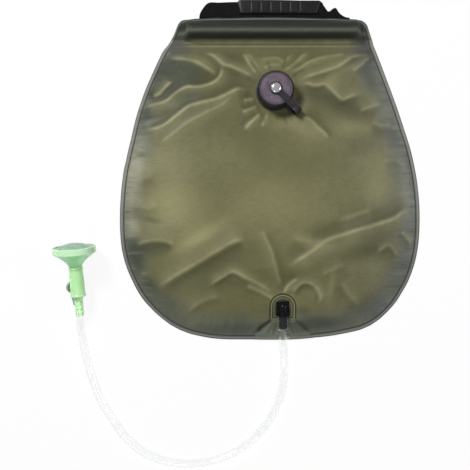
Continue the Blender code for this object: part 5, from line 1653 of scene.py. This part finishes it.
def mint_material(name, colour, deep, shade, rim_colour=None):
    """Tinted see-through polymer: darker where it is thick, with flow marks and fine scratches."""
    mat, g, shader = new_material(name, IOR=1.45, Specular_IOR_Level=0.5, Transmission_Weight=0.10,
                                  Subsurface_Weight=0.30, Subsurface_Radius=(0.4, 1.0, 0.4),
                                  Subsurface_Scale=0.004)
    place = g.place()
    mottle = g.shared("mottle", Vector=place, Scale=70.0)
    facing = g.feed(g.add("ShaderNodeLayerWeight"), Blend=0.32).outputs["Facing"]
    tone = g.lay(colour, deep, mottle["Patches"], 0.25)
    tone = g.lay(tone, deep, g.rise(facing, 0.35, 0.95), shade)
    if rim_colour:
        tone = g.lay(tone, rim_colour, g.attribute("rim"))
    scratch = g.noise(g.stretched(place, (240, 2400, 800), (0.2, 0.1, 0.5)), 1.0, 3)
    g.feed(shader, Base_Color=g.lay(tone, (225, 245, 222), g.rise(scratch, 0.6, 0.78), 0.25),
           Roughness=g.scaled(mottle["Specks"], 0.10, 0.16),
           Normal=g.bump(g.noise(place, 900, 2), 0.00003))
    return mat


class SHOWER_OT_head(bpy.types.Operator):
    """Makes the shower head's body with its barb and its tap boss, and the flared horn"""

    bl_idname = "shower.head"
    bl_label = "Shower head"

    def execute(self, context):
        look = settings("water")
        mint = mint_material("mint polymer", look.head_colour, (150, 212, 148), 0.7)
        green = mint_material("green polymer", look.horn_colour, (118, 236, 142), 0.9,
                              (0.62, 0.94, 0.60, 1))
        base, top, body, neck, socket = 0.0285, 0.0710, 0.0102, 0.0094, 0.0063
        bead = top - 0.0044
        profile = [(r, base - z) for r, z in reversed(barb_side(base, 4))]
        profile += [(0.0106, base), (0.0109, base + 0.0004), (0.0109, base + 0.0019),
                    (0.0104, base + 0.0028), (body, base + 0.0032), (0.0100, base + 0.0200),
                    (0.0096, bead - 0.0050), (neck, bead), (neck + 0.0008, bead + 0.0006),
                    (neck + 0.0008, bead + 0.0014), (neck, bead + 0.0022), (neck, top - 0.0004),
                    (neck - 0.0003, top), (socket, top), (socket, top - 0.0093),
                    (WATERWAY, top - 0.0093), (WATERWAY, 0)]
        tube = lathe(rounded(profile, 0.0004, 2), 96, HEAD, ring=True)
        ring = [(0.0048, 0.0060), (0.0066, 0.0060), (0.0066, 0.0113), (0.0061, 0.0118),
                (0.0048, 0.0118)]
        boss = lathe(rounded(ring, 0.0003, 2), 64, TAP, ring=True)
        keep(shape("shower_body", together(tube, boss), mint, 38), "bag", "mint_plastic",
             "head_body")

        low, back, front, rim, wall, power = 0.0713, 0.0900, 0.0985, 0.0300, 0.0018, 1.45
        plug, seat = 0.0060, top - 0.0090
        profile = [(plug, seat), (plug, low), (neck - 0.0003, low)]
        flare = [((i / 18) ** power, low + (back - low) * i / 18) for i in range(19)]
        profile += [(neck + (rim - neck) * t, z) for t, z in flare]
        profile += [(rim, front - 0.0006), (rim - 0.0005, front), (rim - wall, front),
                    (rim - wall, 0.0959), (rim - wall * 2, 0.0959)]
        profile += [(0.0030 + (rim - wall * 2 - 0.0030) * t, z + wall)
                    for t, z in reversed(flare)]
        profile += [(WATERWAY, low), (WATERWAY, seat)]
        horn = shape("shower_horn", lathe(profile, 128, HEAD, ring=True), green, 38)
        along = [(HEAD.inverted() @ v.co).z for v in horn.data.vertices]
        store(horn, "rim", ease((np.array(along) - back + 0.0012) / 0.0012))
        keep(horn, "bag", "mint_plastic_dark", "head_horn")
        return {"FINISHED"}


def rose_tree(rings):
    """Round holes through a plate, one in the middle and rings of six more each about it."""
    tree, g, given, out = repeat_tree("rings of holes", [
        ("Ring pitch", "Float", 0.006), ("Hole radius", "Float", 0.0008), ("Depth", "Float", 0.02),
        ("Level", "Vector", None), ("Material", "Material", None)])
    plug = g.feed(g.add("GeometryNodeMeshCylinder"), Vertices=14, Radius=given["Hole radius"],
                  Depth=given["Depth"])
    middle = g.feed(g.add("GeometryNodeMeshLine", mode="OFFSET"), Count=1)
    spots = g.feed(g.add("GeometryNodeJoinGeometry"), Geometry=middle.outputs["Mesh"])
    for ring in range(1, rings + 1):
        circle = g.feed(g.add("GeometryNodeMeshCircle"), Vertices=6 * ring,
                        Radius=g.times(given["Ring pitch"], ring))
        g.feed(spots, Geometry=circle.outputs["Mesh"])
    holes = spread(g, spots.outputs[0], plug.outputs["Mesh"])
    solid = g.feed(g.add("GeometryNodeRealizeInstances"), Geometry=moved(g, holes, given["Level"]))
    cut = g.feed(g.add("GeometryNodeMeshBoolean", operation="DIFFERENCE", solver="EXACT"),
                 Mesh_1=given["Geometry"], Mesh_2=solid.outputs[0])
    finish_tree(g, cut.outputs["Mesh"], given["Material"], out)
    return tree


class SHOWER_OT_rose(bpy.types.Operator):
    """Makes the domed rose with its rings of holes"""

    bl_idname = "shower.rose"
    bl_label = "Rose"

    def execute(self, context):
        look = settings("water")
        mat = mint_material("rose polymer", (142, 180, 152), (98, 136, 112), 0.9)
        low, dome, reach, wall, edge = 0.0962, 0.0060, 0.0235, 0.0016, 0.0279
        under = [(reach * i / 20, low + dome * (1 - (i / 20) ** 2)) for i in range(21)]
        profile = under + [(edge, low), (edge, low + wall)]
        profile += [(r, z + wall) for r, z in reversed(under)]
        rose = grown("shower_rose", rose_tree(look.rose_rings), {
            "Ring pitch": 0.006, "Hole radius": look.rose_hole, "Depth": 0.020,
            "Level": (0.0, 0.0, low + 0.004), "Material": mat}, *lathe(profile, 96), HEAD)
        keep(rose, "bag", "mint_plastic", "head_rose")
        return {"FINISHED"}


class SHOWER_OT_tap(bpy.types.Operator):
    """Makes the tap's plug with its knob and arm"""

    bl_idname = "shower.tap"
    bl_label = "Tap"

    def execute(self, context):
        mat = moulded("tap polymer", (138, 168, 148), (170, 194, 176), 0.3, 0.28, 0.00003,
                      Transmission_Weight=0.15)
        knob, plug, groove = 0.0142, 0.0045, 0.0037
        top = knob + 0.0046
        profile = [(0, -0.0053), (plug - 0.0004, -0.0053), (plug, -0.0049), (plug, -0.0044),
                   (groove, -0.0044), (groove, -0.0030), (plug, -0.0030),
                   (plug, knob - 0.0001), (0.0081, knob - 0.0001), (0.0086, knob + 0.0004),
                   (0.0087, top - 0.0022), (0.0084, top - 0.0008), (0.0074, top + 0.0004),
                   (0.0058, top + 0.0012), (0.0036, top + 0.0017), (0, top + 0.0019)]
        stem = lathe(profile, 64, TAP)
        rings = []
        start, length, thick = 0.0037, 0.0262, 0.0032
        for i in range(25):
            t = i / 24
            end = min(1.0, (1 - t) / 0.06 + 0.55)
            half = (0.0056 - 0.0022 * float(ease((t - 0.35) / 0.65))) / 2 * end
            low = knob + 0.0003 - 0.0022 * float(ease((t - 0.4) / 0.6))
            section = [(-half, low), (half, low), (half * 0.8, low + thick),
                       (-half * 0.8, low + thick)]
            rings.append([TAP @ Vector((start + (length - start) * t, a, b))
                          for a, b in rounded(section, 0.0007)])
        lever = shape("tap_handle", together(stem, loft(rings)), mat, 40)
        keep(lever, "tap", "mint_plastic_dark", "tap_lever")
        return {"FINISHED"}


class SHOWER_OT_inner(bpy.types.Operator):
    """Gives materials to the solids that are kept: rod, gasket, neck, washer, seal and clip"""

    bl_idname = "shower.inner"
    bl_label = "Inner parts"

    def execute(self, context):
        rubber = moulded("seal rubber", (34, 34, 36), (80, 80, 82), 0.3, 0.5)
        steel = moulded("bright steel", (186, 186, 188), (140, 140, 142), 0.3, 0.25, 0.00001,
                        Metallic=1.0)
        tube = moulded("white tube", (222, 221, 214), (190, 188, 178), 0.3, 0.45)
        collar = moulded("neck polymer", (30, 30, 31), (70, 70, 70), 0.25, 0.42)
        for node, mat in (("hanger_rod", tube), ("cap_gasket", rubber), ("filler_neck", collar),
                          ("rivet_washer", steel), ("tap_seal", rubber), ("tap_clip", steel)):
            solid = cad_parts[node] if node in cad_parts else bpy.data.objects[node]
            solid.data.materials.clear()
            solid.data.materials.append(mat)
        return {"FINISHED"}


def seen_rays(graph, gloss):
    """1 for rays that show the background itself, and gloss for those in metal and tube."""
    rays = graph.add("ShaderNodeLightPath").outputs
    shiny = graph.most(rays["Is Glossy Ray"], rays["Is Transmission Ray"])
    return graph.most(rays["Is Camera Ray"], graph.times(shiny, gloss))


# The soft lights: name, place, size and power
LIGHTS = [("key", (-0.80, 0.85, 1.25), 0.40, 24.0), ("fill", (1.45, 0.1, 0.9), 0.7, 9.0),
          ("low", (-0.6, -1.3, 1.3), 0.8, 4.0)]


class SHOWER_OT_stage(bpy.types.Operator):
    """Makes the pale floor, the soft lights and the camera over the bag"""

    bl_idname = "shower.stage"
    bl_label = "Floor, lights and camera"

    def execute(self, context):
        scene = context.scene
        mat, g, shader = new_material("white floor", Base_Color=(0.86, 0.86, 0.86, 1),
                                      Roughness=0.9)
        g.surface(g.times(seen_rays(g, 1.0), 0.90), shader.outputs[0],
                  g.add("ShaderNodeEmission").outputs[0])
        corners = [(x, y, -0.0002) for x, y in ((-4, -4), (4, -4), (4, 4), (-4, 4))]
        mesh_piece("floor", corners, [(0, 1, 2, 3)], [mat])

        world = bpy.data.worlds.new("studio")
        world.use_nodes = True
        white = (1, 1, 1, 1)
        g = Graph(world.node_tree)
        light = g.feed(world.node_tree.nodes["Background"], Color=white, Strength=0.30)
        shown = g.feed(g.add("ShaderNodeBackground"), Color=white)
        g.surface(seen_rays(g, 0.2), light.outputs[0], shown.outputs[0])
        scene.world = world
        for name, place, size, power in LIGHTS:
            lamp = bpy.data.lights.new(name, "AREA")
            lamp.shape = "SQUARE"
            lamp.size = size
            lamp.energy = power
            obj = bpy.data.objects.new(name, lamp)
            obj.location = place
            aim = Vector((0, -0.05, 0)) - Vector(place)
            obj.rotation_euler = aim.to_track_quat("-Z", "Y").to_euler()
            scene.collection.objects.link(obj)

        lens = bpy.data.cameras.new("camera")
        lens.lens = 53.6
        lens.sensor_width = 36
        lens.clip_start = 0.05
        camera = bpy.data.objects.new("camera", lens)
        camera.location = (-0.0493, -0.0808, 1.0)
        scene.collection.objects.link(camera)
        scene.camera = camera
        scene.view_settings.view_transform = "Standard"
        return {"FINISHED"}


SETTINGS = {"bag": BagSettings, "handle": HandleSettings, "cap": CapSettings,
            "water": WaterSettings}
OPERATORS = [SHOWER_OT_stage, SHOWER_OT_front, SHOWER_OT_back, SHOWER_OT_cap, SHOWER_OT_rivet,
             SHOWER_OT_tether, SHOWER_OT_webbing, SHOWER_OT_grip, SHOWER_OT_outlet,
             SHOWER_OT_head, SHOWER_OT_rose, SHOWER_OT_tap, SHOWER_OT_inner, SHOWER_OT_hose]


class SHOWER_PT_panel(bpy.types.Panel):
    """Sizes and colours of the shower bag, and the pieces it is made of"""

    bl_idname = "SHOWER_PT_panel"
    bl_label = "Camp shower bag"
    bl_space_type = "VIEW_3D"
    bl_region_type = "UI"
    bl_category = "Shower bag"

    def draw(self, context):
        for name, group in SETTINGS.items():
            box = self.layout.box()
            box.label(text=group.__doc__)
            for prop in group.__annotations__:
                box.prop(settings(name), prop)
        column = self.layout.column()
        for operator in OPERATORS:
            column.operator(operator.bl_idname)


def register():
    """Registers the settings, the operators and the panel."""
    for group in (*SETTINGS.values(), *OPERATORS, SHOWER_PT_panel):
        bpy.utils.register_class(group)
    for name, group in SETTINGS.items():
        setattr(bpy.types.Scene, "shower_" + name, bpy.props.PointerProperty(type=group))


def unregister():
    """Takes away what register added, last first."""
    for name in SETTINGS:
        delattr(bpy.types.Scene, "shower_" + name)
    for group in reversed((*SETTINGS.values(), *OPERATORS, SHOWER_PT_panel)):
        bpy.utils.unregister_class(group)


def main():
    """Builds every piece in order."""
    register()
    for operator in OPERATORS:
        group, name = operator.bl_idname.split(".")
        getattr(getattr(bpy.ops, group), name)()


if __name__ == "__main__":
    main()
